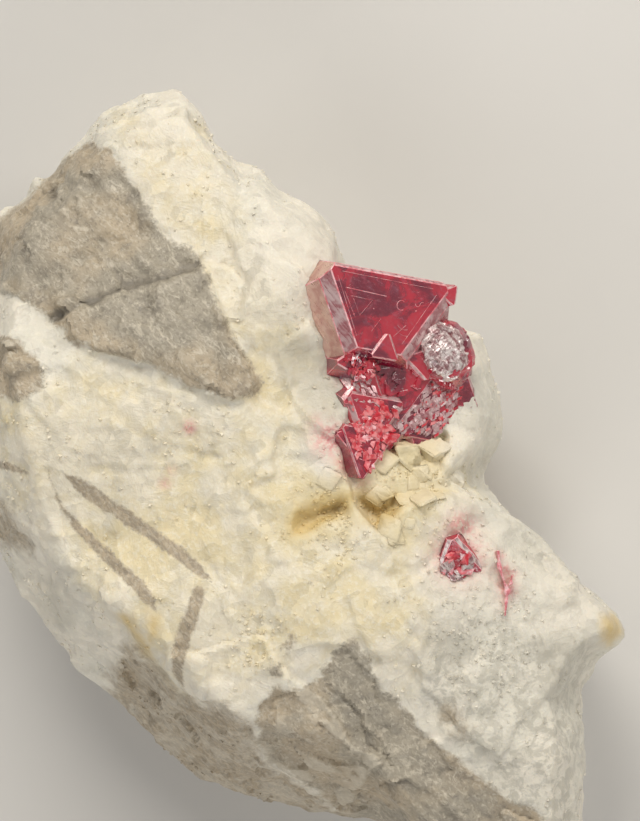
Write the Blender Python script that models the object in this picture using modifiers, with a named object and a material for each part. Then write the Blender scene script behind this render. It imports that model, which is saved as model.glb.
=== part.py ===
"""Cinnabar on dolomite, a mineral specimen that lies on its flat back with its crystals up.

A broken block of white vein dolomite carries one twinned group of red cinnabar, one small cinnabar
crystal and one thin cinnabar blade. +X runs to the right over the face, +Y up the face and +Z out of it.
The origin is on the surface that the block lies on, under the middle of its bounding box.
"""

import itertools
import math

import bmesh
import bpy
import numpy as np
from mathutils import Euler, Matrix, Vector

MM = 0.001

# The block, in millimetres
RIM_CENTRE = (0.2, 2.7)
# The sharp edge where the face turns into the back, clockwise from the left: x, y and height z
RIM = [
    (-28.9, 14.4, 15), (-26.8, 20.4, 15), (-25.0, 24.6, 16), (-22.4, 26.8, 17), (-20.4, 28.4, 17),
    (-19.7, 29.8, 17), (-17.6, 31.3, 18), (-16.9, 32.8, 18), (-14.8, 34.2, 18), (-11.9, 34.7, 19),
    (-9.4, 35.1, 19), (-7.9, 33.4, 19), (-7.1, 32.2, 19), (-5.7, 30.6, 19), (-4.5, 29.3, 19),
    (-2.9, 29.0, 19), (-0.5, 26.9, 20), (1.3, 25.9, 20), (2.7, 24.7, 20), (3.9, 23.1, 20),
    (4.5, 21.2, 20), (5.5, 18.6, 19), (8.3, 16.0, 18), (12.2, 15.5, 17), (15.1, 14.9, 17),
    (16.7, 14.4, 17), (17.5, 12.9, 17), (18.0, 10.9, 17), (18.8, 9.2, 17), (19.0, 7.4, 17),
    (18.5, 5.3, 17), (17.4, 3.6, 17), (16.5, 2.5, 17), (16.4, 1.2, 17), (18.0, -0.3, 18),
    (19.2, -1.7, 19), (20.8, -2.4, 19), (22.3, -3.7, 19), (24.2, -6.0, 19), (26.1, -8.0, 19),
    (27.8, -9.1, 19), (29.5, -10.9, 18), (29.3, -11.9, 18), (27.9, -12.8, 18), (26.6, -13.5, 18),
    (26.0, -15.0, 17), (25.0, -16.4, 17), (24.9, -18.9, 16), (25.4, -21.1, 16), (25.7, -23.7, 15),
    (25.6, -27.8, 14), (25.3, -31.4, 13), (23.6, -34.2, 12), (20.2, -35.1, 11), (15.8, -34.0, 11),
    (11.4, -30.5, 11), (8.4, -28.2, 11), (3.6, -27.2, 11), (-0.8, -26.1, 11), (-4.7, -25.7, 11),
    (-7.7, -24.4, 11), (-10.4, -22.4, 11), (-14.3, -18.5, 11), (-17.7, -15.2, 12), (-20.9, -12.1, 13),
    (-22.0, -10.3, 14), (-23.5, -7.7, 14), (-25.0, -4.8, 14), (-26.6, -1.7, 14), (-27.8, 2.7, 14),
    (-28.7, 7.0, 14), (-28.9, 10.9, 15),
]

# Broken faces of the front: a point on each one, x, y and z, its slopes along x and y, and how far
# from that point it stays flat before it rises out of the way
FACES = {
    "middle": (1.0, -4.9, 28.0, 0.00, 0.02, 60),
    "upper_right": (-2.4, 17.2, 28.6, -0.33, -0.27, 60),
    "upper_left": (-15.1, 23.1, 25.2, 0.14, -0.22, 20),
    "left": (-15.1, 1.9, 26.8, 0.08, 0.05, 20),
    "lower_left_flank": (-4.9, -18.5, 25.4, 0.80, 1.00, 20),
    "foot": (9.5, -20.2, 25.4, 0.00, 0.30, 24),
    "lower_right": (19.7, -15.1, 25.0, -0.32, -0.04, 18),
    "right_shoulder": (21.0, -7.5, 24.6, -0.62, -0.62, 8),
    "behind_crystals": (12.9, 7.0, 23.8, -0.62, -0.35, 12),
}
BEYOND_REACH = 1.1
WALL_SLOPE = 2.6
WALL_ROUNDING = 0.9

# Swellings and hollows of the front: x, y, radius and height
SWELLINGS = [
    (0.2, 19.5, 4.2, 0.8),
    (-13.4, 6.1, 5.5, 0.9),
    (-21.5, 9.5, 4.0, 0.7),
    (3.5, -8.5, 5.0, 0.7),
    (-3.5, 1.5, 4.5, 0.6),
    (14.5, -3.0, 4.0, 0.6),
    (-12.0, 31.0, 4.0, 0.8),
    (16.0, 8.6, 3.4, 1.6),
    (2.6, 10.4, 3.6, -1.3),
    (9.2, 6.4, 2.8, -1.8),
    (14.3, -4.7, 1.8, -0.9),
    (-8.5, -5.5, 3.5, -0.5),
    (-19.0, -3.0, 4.0, -0.6),
]

# Ledges and pits of the front: outline in x and y, rise, and the width of the step
STEPPED_CLAST = [
    (-20.2, 17.2), (-14.3, 18.7), (-7.5, 20.1), (-6.2, 17.2), (-4.8, 14.2), (-2.3, 10.5),
    (-2.8, 9.1), (-4.8, 8.8), (-8.3, 9.9), (-11.7, 11.9), (-16.0, 12.9), (-18.5, 13.8),
]
CRYSTAL_POCKET = [
    (4.4, 5.3), (5.7, 0.2), (7.4, -2.0), (9.5, -0.3), (12.9, 1.0), (13.4, 5.7), (8.2, 5.5),
]
LEFT_PIT = [(0.7, -2.4), (1.0, -1.1), (2.6, -0.3), (4.8, 0.4), (4.8, -0.9), (2.9, -1.5), (1.5, -2.4)]
RIGHT_PIT = [(5.9, -0.1), (7.7, -1.9), (9.7, -0.3), (8.8, 0.2), (7.8, -0.5), (6.8, 0.2)]
LEDGES = [
    (STEPPED_CLAST, 1.1, 0.5),
    (CRYSTAL_POCKET, -1.5, 1.2),
    (LEFT_PIT, -2.6, 0.5),
    (RIGHT_PIT, -2.2, 0.5),
]

# The back: how far in the flat that the block lies on reaches, and how deep its hollows are
BASE_SHARE = 0.76
BASE_SINK = 0.9

# Roughness of broken dolomite: wavelength and height of each size of lump
LUMPS = [(9.0, 0.55), (4.2, 0.34), (2.0, 0.16)]
# Cleavage chips: size of each chip and its greatest slope
CHIPS = [(6.0, 0.16), (2.8, 0.16)]

BLOCK_SEGMENTS = 220
BLOCK_RINGS = 96
RIM_RING = 62
WALL_RINGS = 20
# Grain of the rock's even skin, and the share of its triangles that the flat chips keep
SKIN_GRAIN = 0.5
CHIP_SHARE = 0.068

# Cleaved dolomite rhombs grown with the block: x, y, z of the middle, edge, and turns in degrees
RHOMBS = [
    (10.0, 4.1, 26.0, 2.6, 20, 25, 10),
    (12.2, 4.4, 25.2, 2.4, -15, 30, 40),
    (11.3, 2.0, 25.6, 2.2, 35, -10, 20),
    (8.6, 2.6, 25.7, 2.0, 10, 40, -20),
    (9.2, -2.3, 27.5, 2.5, 12, -14, 30),
    (11.8, -0.4, 26.0, 2.4, -20, 15, 60),
    (5.0, -1.9, 26.9, 1.8, 30, 10, 5),
    (2.7, -3.0, 26.9, 1.6, -25, 20, 35),
    (13.9, 1.6, 24.6, 2.2, 15, 15, -30),
    (6.5, 0.9, 25.6, 1.7, 40, 20, 15),
    (-1.9, -1.0, 27.2, 1.7, 20, -30, 50),
]
RHOMB_SHEAR = 0.28

# The crystal group: its middle, the direction that its triangle faces look, and its upper edge
GROUP_CENTRE = (8.1, 15.9, 28.3)
GROUP_NORMAL = (0.42, -0.02, 0.907)
GROUP_EDGE = (0.989, -0.150, 0.0)

# Angles between the triangle face of cinnabar and its other forms, in degrees
SHALLOW_FORM = 46.6
STEEP_FORM = 69.3
UPPER_FORM = 87.0
CORNER_FORM = 90.0

# Plates of the group. In the group's own axes: u and v of the middle, w of the front face, the
# inner radius of its triangle, thickness, turn in degrees, and the shallow form's depth on its
# upper, lower left and lower right edges. A turn of 180 is the twin, which points the other way.
PLATES = {
    "main": (0.25, 0.0, 0.0, 3.25, 5.0, 0, 0.25, 0.45, 1.9),
    "twin_corner": (0.75, -3.85, 0.35, 1.25, 3.5, 180, 0.15, 0.35, 0.35),
    "twin_body": (1.8, -5.2, -0.8, 2.7, 4.6, 180, 0.4, 0.6, 0.8),
    "core": (3.0, -5.0, -1.5, 3.3, 4.0, 0, 0.4, 0.5, 0.8),
    "right_step_1": (6.5, -6.8, -1.5, 1.7, 3.2, 180, 0.3, 0.4, 0.6),
    "right_step_2": (5.7, -8.2, -1.8, 1.8, 3.0, 180, 0.3, 0.4, 0.5),
    "right_step_3": (3.9, -8.2, -1.3, 1.7, 3.2, 0, 0.3, 0.4, 0.5),
    "right_edge": (7.9, -4.7, -1.4, 1.7, 3.4, 180, 0.3, 0.4, 0.5),
    "corner_block": (6.0, 2.4, -0.2, 0.75, 2.4, 30, 0.2, 0.2, 0.2),
    "left_lump": (-1.4, -4.3, -0.8, 0.95, 2.2, 40, 0.3, 0.3, 0.3),
    "left_step": (0.1, -6.7, -1.2, 1.2, 2.6, 180, 0.3, 0.4, 0.3),
    "waist": (0.9, -8.5, -0.8, 1.7, 3.2, 0, 0.4, 0.4, 0.4),
    "lower_left": (-0.3, -10.8, -1.2, 0.95, 2.4, 20, 0.3, 0.3, 0.3),
    "lower_tip": (0.7, -11.2, -0.9, 1.45, 2.8, 0, 0.3, 0.4, 0.5),
}
CORNER_CUT = 1.88

# The striated dome on the right of the group, a rounded block with one broad sloping top
DOME_PLACE = (13.3, 12.7, 24.9)
DOME_RADII = (2.2, 2.7, 1.7)
DOME_TURN = (4, 18, 24)

# The small crystal in its own hollow: x, y, z, inner radius, thickness and tilt in degrees
SMALL_CRYSTAL = (14.3, -5.2, 26.6, 1.2, 2.6)
SMALL_TILT = (18, -14, 70)

# The thin blade in its crack: its line in x and y, half width at each point, top and depth
BLADE_LINE = [
    (17.9, -4.1, 0.22), (18.0, -5.4, 0.26), (18.2, -6.7, 0.14), (18.7, -7.6, 0.30), (18.4, -9.6, 0.12),
]
BLADE_TOP = 26.0
BLADE_DEPTH = 2.6

# Clearance between a crystal and the hollow that holds it
GAP = 0.3


def clear_scene():
    for obj in list(bpy.data.objects):
        bpy.data.objects.remove(obj, do_unlink=True)


def collection_named(name):
    made = bpy.data.collections.new(name)
    bpy.context.scene.collection.children.link(made)
    return made


def finish(name, colour, roughness, metallic=0.0):
    """One plain Principled finish."""
    material = bpy.data.materials.new(name)
    material.use_nodes = True
    shader = material.node_tree.nodes["Principled BSDF"]
    shader.inputs["Base Color"].default_value = (*colour, 1.0)
    shader.inputs["Roughness"].default_value = roughness
    shader.inputs["Metallic"].default_value = metallic
    return material


def object_from(bm, name, collection, material=None):
    """An object in metres from a bmesh in millimetres."""
    bmesh.ops.recalc_face_normals(bm, faces=bm.faces)
    bm.transform(Matrix.Scale(MM, 4))
    mesh = bpy.data.meshes.new(name)
    bm.to_mesh(mesh)
    bm.free()
    obj = bpy.data.objects.new(name, mesh)
    collection.objects.link(obj)
    if material:
        mesh.materials.append(material)
    return obj


def cell_numbers(cell, seed, count):
    """Repeatable random numbers from -1 to 1 for whole-number lattice cells."""
    keys = cell.astype(np.int64) @ np.array([73856093, 19349663, 83492791]) + seed * 6971
    made = []
    for turn in range(count):
        mixed = (keys + turn * 40503) * 2246822519 & 0xFFFFFFFF
        mixed = (mixed ^ (mixed >> 15)) * 3266489917 & 0xFFFFFFFF
        mixed = mixed ^ (mixed >> 13)
        made.append((mixed & 0xFFFFFF) / 0x7FFFFF - 1)
    return np.stack(made, axis=1)


def lumps(points, wavelength, seed):
    """Smooth noise from -1 to 1, with one lump about a wavelength across."""
    place = points / wavelength
    cell = np.floor(place)
    part = place - cell
    part = part * part * (3 - 2 * part)
    total = np.zeros(len(points))
    for corner in itertools.product((0, 1), repeat=3):
        share = np.prod(np.where(np.array(corner) == 1, part, 1 - part), axis=1)
        total += share * cell_numbers(cell + corner, seed, 1)[:, 0]
    return total


def chips(points, size, slope, seed):
    """Flat chips, each tilted its own way, as broken cleavage leaves them."""
    place = points / size
    home = np.floor(place)
    nearest = np.full(len(points), 1e9)
    height = np.zeros(len(points))
    for step in itertools.product((-1, 0, 1), repeat=3):
        numbers = cell_numbers(home + step, seed, 6)
        offset = place - (home + step + 0.5 + 0.42 * numbers[:, :3])
        distance = (offset**2).sum(axis=1)
        closer = distance < nearest
        tilted = (offset * numbers[:, 3:]).sum(axis=1) * size * slope
        nearest = np.where(closer, distance, nearest)
        height = np.where(closer, tilted, height)
    return height


def depth_inside(x, y, outline):
    """Distance in from a closed outline, and below zero outside it."""
    corners = np.array(outline)
    nearest = np.full(len(x), 1e9)
    inside = np.zeros(len(x), bool)
    for a, b in zip(corners, np.roll(corners, -1, axis=0)):
        along = b - a
        t = np.clip(((x - a[0]) * along[0] + (y - a[1]) * along[1]) / (along @ along), 0, 1)
        nearest = np.minimum(nearest, np.hypot(x - a[0] - t * along[0], y - a[1] - t * along[1]))
        crosses = (a[1] > y) != (b[1] > y)
        rise = along[1] if along[1] else 1e-9
        inside ^= crosses & (x < a[0] + (y - a[1]) * along[0] / rise)
    return np.where(inside, nearest, -nearest)


def smooth_step(value):
    t = np.clip(value, 0, 1)
    return t * t * (3 - 2 * t)


def rim_at(angle):
    """Radius and height of the rim in each direction from its centre."""
    rim = np.array(RIM, float)
    across = rim[:, :2] - RIM_CENTRE
    turn = np.arctan2(across[:, 1], across[:, 0])
    order = np.argsort(turn)
    radius = np.hypot(across[:, 0], across[:, 1])[order]
    height = rim[order, 2]
    return (
        np.interp(angle, turn[order], radius, period=2 * math.pi),
        np.interp(angle, turn[order], height, period=2 * math.pi),
    )


def front_height(x, y, inset, rim_height):
    """Height of the broken front at each place. The inset is the distance in from the rim."""
    flat = np.stack([x, y, np.zeros(len(x))], axis=1)
    surface = np.full(len(x), 1e9)
    for seed, (fx, fy, fz, slope_x, slope_y, reach) in enumerate(FACES.values()):
        face = fz + slope_x * (x - fx) + slope_y * (y - fy) + 0.45 * lumps(flat, 4.5, 40 + seed)
        face += BEYOND_REACH * np.maximum(np.hypot(x - fx, y - fy) - reach, 0)
        surface = np.minimum(surface, face)
    for sx, sy, radius, height in SWELLINGS:
        away = ((x - sx) ** 2 + (y - sy) ** 2) / radius**2
        surface += height * np.exp(-away)
    for outline, rise, width in LEDGES:
        surface += rise * smooth_step(0.5 + depth_inside(x, y, outline) / width)
    wall = rim_height + WALL_SLOPE * inset / (1 + inset * 0.04)
    blend = np.clip(0.5 + 0.5 * (wall - surface) / WALL_ROUNDING, 0, 1)
    return wall + (surface - wall) * blend - WALL_ROUNDING * blend * (1 - blend)


def shape_block(points):
    """Carries the points of a unit sphere onto the block, in millimetres."""
    angle = np.arctan2(points[:, 1], points[:, 0])
    ring = np.arccos(np.clip(points[:, 2], -1, 1)) / math.pi * BLOCK_RINGS
    radius, rim_height = rim_at(angle)
    front = ring <= RIM_RING
    wall = np.clip((ring - RIM_RING) / WALL_RINGS, 0, 1)
    under = np.clip((ring - RIM_RING - WALL_RINGS) / (BLOCK_RINGS - RIM_RING - WALL_RINGS), 0, 1)
    share = np.where(front, ring / RIM_RING, 1 - (1 - BASE_SHARE) * wall**1.5)
    share = np.where(under > 0, BASE_SHARE * (1 - under), share)
    x = RIM_CENTRE[0] + radius * share * np.cos(angle)
    y = RIM_CENTRE[1] + radius * share * np.sin(angle)
    edge_x = RIM_CENTRE[0] + radius * np.cos(angle)
    edge_y = RIM_CENTRE[1] + radius * np.sin(angle)
    edge_z = front_height(edge_x, edge_y, np.zeros(len(x)), rim_height)
    down = (edge_z + BASE_SINK) * (1 - wall**1.1) - BASE_SINK
    z = np.where(front, front_height(x, y, radius * (1 - share), rim_height), down)
    return np.stack([x, y, z], axis=1)


def roughened(points, normals):
    """Adds the lumps and chips of broken rock along the normals."""
    rise = np.zeros(len(points))
    for seed, (wavelength, height) in enumerate(LUMPS):
        rise += height * lumps(points, wavelength, seed)
    for seed, (size, slope) in enumerate(CHIPS):
        rise += chips(points, size, slope, 20 + seed)
    return points + normals * rise[:, None]


def rock_body(collection, material):
    """The block before its hollows are cut: made fine, given an even skin, reduced to flat chips."""
    bm = bmesh.new()
    bmesh.ops.create_uvsphere(bm, u_segments=BLOCK_SEGMENTS, v_segments=BLOCK_RINGS, radius=1.0)
    placed = shape_block(np.array([v.co[:] for v in bm.verts]))
    for vert, place in zip(bm.verts, placed):
        vert.co = place
    bm.normal_update()
    normals = np.array([v.normal[:] for v in bm.verts])
    for vert, place in zip(bm.verts, roughened(placed, normals)):
        vert.co = place
    rock = object_from(bm, "dolomite_matrix", collection, material)
    skin = rock.modifiers.new("even skin", "REMESH")
    skin.mode = "VOXEL"
    skin.voxel_size = SKIN_GRAIN * MM
    reduce = rock.modifiers.new("flat chips", "DECIMATE")
    reduce.ratio = CHIP_SHARE
    return rock


def dolomite_rhomb(number, spec, collection):
    """One cleavage rhomb: a cube pushed out along its own diagonal."""
    x, y, z, edge, turn_x, turn_y, turn_z = spec
    bm = bmesh.new()
    bmesh.ops.create_cube(bm, size=edge)
    diagonal = Vector((1, 1, 1)).normalized()
    for vert in bm.verts:
        vert.co -= diagonal * vert.co.dot(diagonal) * RHOMB_SHEAR
    turn = Euler([math.radians(a) for a in (turn_x, turn_y, turn_z)]).to_matrix().to_4x4()
    bm.transform(Matrix.Translation((x, y, z)) @ turn)
    return object_from(bm, f"rhomb_{number}", collection)


def cut_by(bm, normal, distance):
    """Cuts away what lies past a plane and closes the cut."""
    geometry = bm.verts[:] + bm.edges[:] + bm.faces[:]
    cut = bmesh.ops.bisect_plane(
        bm, geom=geometry, dist=1e-6, plane_co=normal * distance, plane_no=normal, clear_outer=True
    )
    edges = [e for e in cut["geom_cut"] if isinstance(e, bmesh.types.BMEdge)]
    if edges:
        bmesh.ops.contextual_create(bm, geom=edges)


def form_normal(azimuth, slope):
    """The outward direction of a face at this azimuth, tilted this far from the triangle face."""
    a, s = math.radians(azimuth), math.radians(slope)
    return Vector((math.sin(s) * math.cos(a), math.sin(s) * math.sin(a), math.cos(s)))


def plate_shape(inner_radius, thickness, bevels, grow=0.0):
    """A trigonal plate with its triangle face at z = 0 and its edges facing up, lower left, lower right."""
    bm = bmesh.new()
    bmesh.ops.create_cube(bm, size=80.0)
    cut_by(bm, Vector((0, 0, 1)), grow)
    cut_by(bm, Vector((0, 0, -1)), thickness + grow)
    for azimuth, depth in zip((90, 210, 330), bevels):
        outward = Vector((math.cos(math.radians(azimuth)), math.sin(math.radians(azimuth)), 0))
        edge = outward * inner_radius
        shallow = form_normal(azimuth, SHALLOW_FORM)
        cut_by(bm, shallow, edge.dot(shallow) + grow)
        lower = edge + outward * depth / math.tan(math.radians(SHALLOW_FORM)) - Vector((0, 0, depth))
        steep = form_normal(azimuth, UPPER_FORM if azimuth == 90 else STEEP_FORM)
        cut_by(bm, steep, lower.dot(steep) + grow)
    for azimuth in (30, 150, 270):
        cut_by(bm, form_normal(azimuth, CORNER_FORM), inner_radius * CORNER_CUT + grow)
    return bm


def group_axes():
    """The turn from the crystal group's own axes to the part's."""
    w = Vector(GROUP_NORMAL).normalized()
    u = Vector(GROUP_EDGE)
    u = (u - w * u.dot(w)).normalized()
    v = w.cross(u)
    return Matrix((u, v, w)).transposed().to_4x4()


def plate(name, spec, collection, grow=0.0):
    """One plate of the crystal group, in its place."""
    u, v, w, inner_radius, thickness, turn, *bevels = spec
    bm = plate_shape(inner_radius, thickness, bevels, grow)
    inside = Matrix.Translation((u, v, w)) @ Matrix.Rotation(math.radians(turn), 4, "Z")
    bm.transform(Matrix.Translation(GROUP_CENTRE) @ group_axes() @ inside)
    return object_from(bm, name, collection)


def dome(collection, grow=0.0):
    """The striated dome, a low round block with flat sides."""
    bm = bmesh.new()
    bmesh.ops.create_icosphere(bm, subdivisions=2, radius=1.0)
    radii = [r + grow for r in DOME_RADII]
    turn = Euler([math.radians(a) for a in DOME_TURN]).to_matrix().to_4x4()
    bm.transform(Matrix.Translation(DOME_PLACE) @ turn @ Matrix.Diagonal((*radii, 1.0)))
    return object_from(bm, "dome", collection)


def small_crystal(name, collection, material=None, grow=0.0):
    x, y, z, inner_radius, thickness = SMALL_CRYSTAL
    bm = plate_shape(inner_radius, thickness, (0.3, 0.35, 0.4), grow)
    turn = Euler([math.radians(a) for a in SMALL_TILT]).to_matrix().to_4x4()
    bm.transform(Matrix.Translation((x, y, z)) @ turn)
    return object_from(bm, name, collection, material)


def blade(name, collection, material=None, grow=0.0):
    """The thin blade: its outline drawn down, swept straight into the rock."""
    bm = bmesh.new()
    right = [(x + half + grow, y) for x, y, half in BLADE_LINE]
    left = [(x - half - grow, y) for x, y, half in reversed(BLADE_LINE)]
    outline = right + left
    outline[0] = (outline[0][0], outline[0][1] + grow)
    outline[-1] = (outline[-1][0], outline[-1][1] + grow)
    for i in (len(right) - 1, len(right)):
        outline[i] = (outline[i][0], outline[i][1] - grow)
    bottom = [bm.verts.new((x, y, BLADE_TOP - BLADE_DEPTH - grow)) for x, y in outline]
    face = bm.faces.new(bottom)
    swept = bmesh.ops.extrude_face_region(bm, geom=[face])
    top = [g for g in swept["geom"] if isinstance(g, bmesh.types.BMVert)]
    for vert in top:
        vert.co.z = BLADE_TOP + (20.0 if grow else 0.0)
    return object_from(bm, name, collection, material)


def join_all(target, collection, label):
    """A live Boolean union of an object with everything in a collection."""
    union = target.modifiers.new(label, "BOOLEAN")
    union.operation = "UNION"
    union.operand_type = "COLLECTION"
    union.collection = collection
    return union


def cut_all(target, collection, label):
    """A live Boolean cut of everything in a collection out of an object."""
    cut = target.modifiers.new(label, "BOOLEAN")
    cut.operation = "DIFFERENCE"
    cut.operand_type = "COLLECTION"
    cut.collection = collection
    return cut


def hide_helpers(collection):
    for obj in collection.objects:
        obj.hide_render = True
        obj.display_type = "WIRE"


def ground_block(collection):
    """What is below the surface that the block lies on."""
    bm = bmesh.new()
    bmesh.ops.create_cube(bm, size=100.0)
    bm.transform(Matrix.Translation((0, 0, -50.0)))
    return object_from(bm, "below_the_surface", collection)


def build():
    clear_scene()
    parts = collection_named("cinnabar on dolomite")
    rhombs = collection_named("rhombs joined to the block")
    plates = collection_named("plates joined to the group")
    hollows = collection_named("hollows that hold the crystals")
    ground = collection_named("below the surface")
    dolomite = finish("dolomite", (0.72, 0.66, 0.52), 0.55)
    cinnabar = finish("cinnabar", (0.33, 0.012, 0.035), 0.12)

    rock = rock_body(parts, dolomite)
    for number, spec in enumerate(RHOMBS, start=1):
        dolomite_rhomb(number, spec, rhombs)
    for name, spec in PLATES.items():
        if name != "main":
            plate(name, spec, plates)
        plate(f"hollow_for_{name}", spec, hollows, GAP)
    dome(plates)
    dome(hollows, GAP)
    small_crystal("hollow_for_small_crystal", hollows, grow=GAP)
    blade("hollow_for_blade", hollows, grow=GAP)
    ground_block(ground)

    join_all(rock, rhombs, "grow rhombs")
    cut_all(rock, hollows, "make hollows")
    cut_all(rock, ground, "flatten the back")
    group = plate("main", PLATES["main"], parts)
    group.name = "cinnabar_group"
    group.data.materials.append(cinnabar)
    join_all(group, plates, "grow together")
    small_crystal("cinnabar_small_crystal", parts, cinnabar)
    blade("cinnabar_blade", parts, cinnabar)
    for helper in (rhombs, plates, hollows, ground):
        hide_helpers(helper)


build()
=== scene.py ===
# %% [markdown]
# # Cinnabar on dolomite
# The specimen is a broken block of white vein dolomite with pieces of grey dolostone in it, and a twinned
# group of red cinnabar crystals sits in a pocket of the vein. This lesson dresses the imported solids, the
# frame, with fine meshes and procedural finishes. Everything is worked out in millimetres in the frame's own
# axes: X to the right over the crystal face, Y up the face, Z out of it. Meshes become metres at the end.

# %% Load the frame
import itertools
import math
import time

import bmesh
import bpy
import numpy as np
from mathutils import Euler, Matrix, Vector


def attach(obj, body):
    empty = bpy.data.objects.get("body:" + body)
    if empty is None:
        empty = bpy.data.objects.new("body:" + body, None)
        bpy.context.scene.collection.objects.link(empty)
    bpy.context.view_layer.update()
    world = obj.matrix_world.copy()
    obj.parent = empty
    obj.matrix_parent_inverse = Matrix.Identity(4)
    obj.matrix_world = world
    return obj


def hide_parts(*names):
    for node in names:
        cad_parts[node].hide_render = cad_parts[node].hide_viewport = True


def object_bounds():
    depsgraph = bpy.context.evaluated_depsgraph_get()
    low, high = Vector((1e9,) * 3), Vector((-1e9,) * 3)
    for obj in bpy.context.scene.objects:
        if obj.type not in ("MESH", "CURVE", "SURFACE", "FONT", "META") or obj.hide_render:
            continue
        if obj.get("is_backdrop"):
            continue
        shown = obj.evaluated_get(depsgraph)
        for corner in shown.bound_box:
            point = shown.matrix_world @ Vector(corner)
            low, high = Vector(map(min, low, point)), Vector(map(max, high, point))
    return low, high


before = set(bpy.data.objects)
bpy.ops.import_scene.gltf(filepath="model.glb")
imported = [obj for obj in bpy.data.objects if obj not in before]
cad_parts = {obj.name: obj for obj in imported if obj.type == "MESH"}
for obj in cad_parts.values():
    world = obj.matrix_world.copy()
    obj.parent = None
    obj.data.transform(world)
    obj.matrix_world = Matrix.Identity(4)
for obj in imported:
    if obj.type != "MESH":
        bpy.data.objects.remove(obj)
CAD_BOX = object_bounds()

MM = 0.001
START = time.time()
print("frame nodes:", sorted(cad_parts))

# %% [markdown]
# ## The camera and where a pixel lies
# The photograph looks straight at the crystal face, which lies upwards here, so the camera looks straight
# down. One pixel of the photograph is 0.085 mm at the height of the front face. `on_rock` turns a traced
# pixel into millimetres at a given height, so an outline can be written as it was traced.

# %% Camera
PHOTO_WIDTH, PHOTO_HEIGHT = 640, 821
PIXEL = 0.085
FACE_HEIGHT = 24.0
CAMERA_DISTANCE = 500.0
CAMERA_X, CAMERA_Y = 2.72, 7.78
SENSOR = 36.0


def on_rock(px, py, height=26.0):
    """The place in millimetres of a traced pixel, at this height."""
    spread = PIXEL * (CAMERA_DISTANCE - (height - FACE_HEIGHT)) / CAMERA_DISTANCE
    return CAMERA_X + (px - PHOTO_WIDTH / 2) * spread, CAMERA_Y - (py - PHOTO_HEIGHT / 2) * spread


def traced(outline, height=26.0):
    return [on_rock(px, py, height) for px, py in outline]


camera_data = bpy.data.cameras.new("camera")
camera_data.sensor_fit = "VERTICAL"
camera_data.sensor_height = SENSOR
camera_data.lens = SENSOR * CAMERA_DISTANCE / (PHOTO_HEIGHT * PIXEL)
camera_data.clip_start = 0.01
camera = bpy.data.objects.new("camera", camera_data)
camera.location = (CAMERA_X * MM, CAMERA_Y * MM, (FACE_HEIGHT + CAMERA_DISTANCE) * MM)
bpy.context.scene.collection.objects.link(camera)
bpy.context.scene.camera = camera
print("lens", round(camera_data.lens, 1), "mm")

# %% [markdown]
# ## Light and floor
# The block lies on a plain pale floor. A large soft light stands towards the top of the picture, weaker ones
# at the other sides, and the sky fills the shadows. The triangular crystal face mirrors the right-hand side,
# about 40 degrees above the floor, so no light stands just there: that keeps the face wine red, not milky.

# %% Lights
LIGHTS = [
    ("key", (-0.12, 0.46, 0.44), 0.34, 2.7, (1.0, 0.955, 0.88)),
    ("left_fill", (-0.50, -0.05, 0.34), 0.30, 0.5, (0.95, 0.97, 1.0)),
    ("low_fill", (0.10, -0.55, 0.36), 0.40, 1.5, (1.0, 0.98, 0.95)),
    ("right_fill", (0.42, 0.30, 0.40), 0.34, 1.5, (1.0, 0.98, 0.95)),
]
AIM = Vector((0.0, 0.0, 0.02))


def soft_light(name, place, size, power, colour):
    lamp = bpy.data.lights.new(name, "AREA")
    lamp.shape = "DISK"
    lamp.size = size
    lamp.energy = power
    lamp.color = colour
    holder = bpy.data.objects.new(name, lamp)
    holder.location = place
    holder.rotation_euler = (AIM - Vector(place)).to_track_quat("-Z", "Y").to_euler()
    bpy.context.scene.collection.objects.link(holder)
    return holder


for spec in LIGHTS:
    soft_light(*spec)

world = bpy.data.worlds.new("dim sky")
world.use_nodes = True
world.node_tree.nodes["Background"].inputs["Color"].default_value = (1.0, 0.965, 0.91, 1.0)
world.node_tree.nodes["Background"].inputs["Strength"].default_value = 0.22
bpy.context.scene.world = world
bpy.context.scene.view_settings.view_transform = "Standard"

# %% [markdown]
# ## Small helpers for meshes and for finishes
# A finish is a tree of shader nodes. The helper `add` makes one node and fills its sockets, with plain values
# or with links, so each finish below reads as a list of steps.

# %% Helpers
def to_object(bm, name, material=None, smooth_angle=None):
    """An object in metres from a bmesh in millimetres."""
    bm.transform(Matrix.Scale(MM, 4))
    mesh = bpy.data.meshes.new(name)
    bm.to_mesh(mesh)
    bm.free()
    obj = bpy.data.objects.new(name, mesh)
    bpy.context.scene.collection.objects.link(obj)
    if material:
        mesh.materials.append(material)
    if smooth_angle is not None:
        mesh.shade_smooth()
        mesh.set_sharp_from_angle(angle=math.radians(smooth_angle))
    return obj


def baked(obj):
    """Turns an object's live modifiers into its plain mesh."""
    graph = bpy.context.evaluated_depsgraph_get()
    mesh = bpy.data.meshes.new_from_object(obj.evaluated_get(graph))
    obj.modifiers.clear()
    old = obj.data
    obj.data = mesh
    bpy.data.meshes.remove(old)
    mesh.name = obj.name
    return obj


def triangles(obj):
    return sum(len(face.vertices) - 2 for face in obj.data.polygons)


def places_of(mesh):
    """A mesh's points in millimetres."""
    points = np.empty(len(mesh.vertices) * 3)
    mesh.vertices.foreach_get("co", points)
    return points.reshape(-1, 3) / MM


def normals_of(mesh):
    normals = np.empty(len(mesh.vertices) * 3, np.float32)
    mesh.vertex_normals.foreach_get("vector", normals)
    return normals.reshape(-1, 3).astype(float)


def move_to(mesh, points):
    mesh.vertices.foreach_set("co", (points * MM).ravel())
    mesh.update()


def new_finish(name):
    """An empty finish: its material, its node tree and its Principled shader."""
    material = bpy.data.materials.new(name)
    material.use_nodes = True
    return material, material.node_tree, material.node_tree.nodes["Principled BSDF"]


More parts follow.
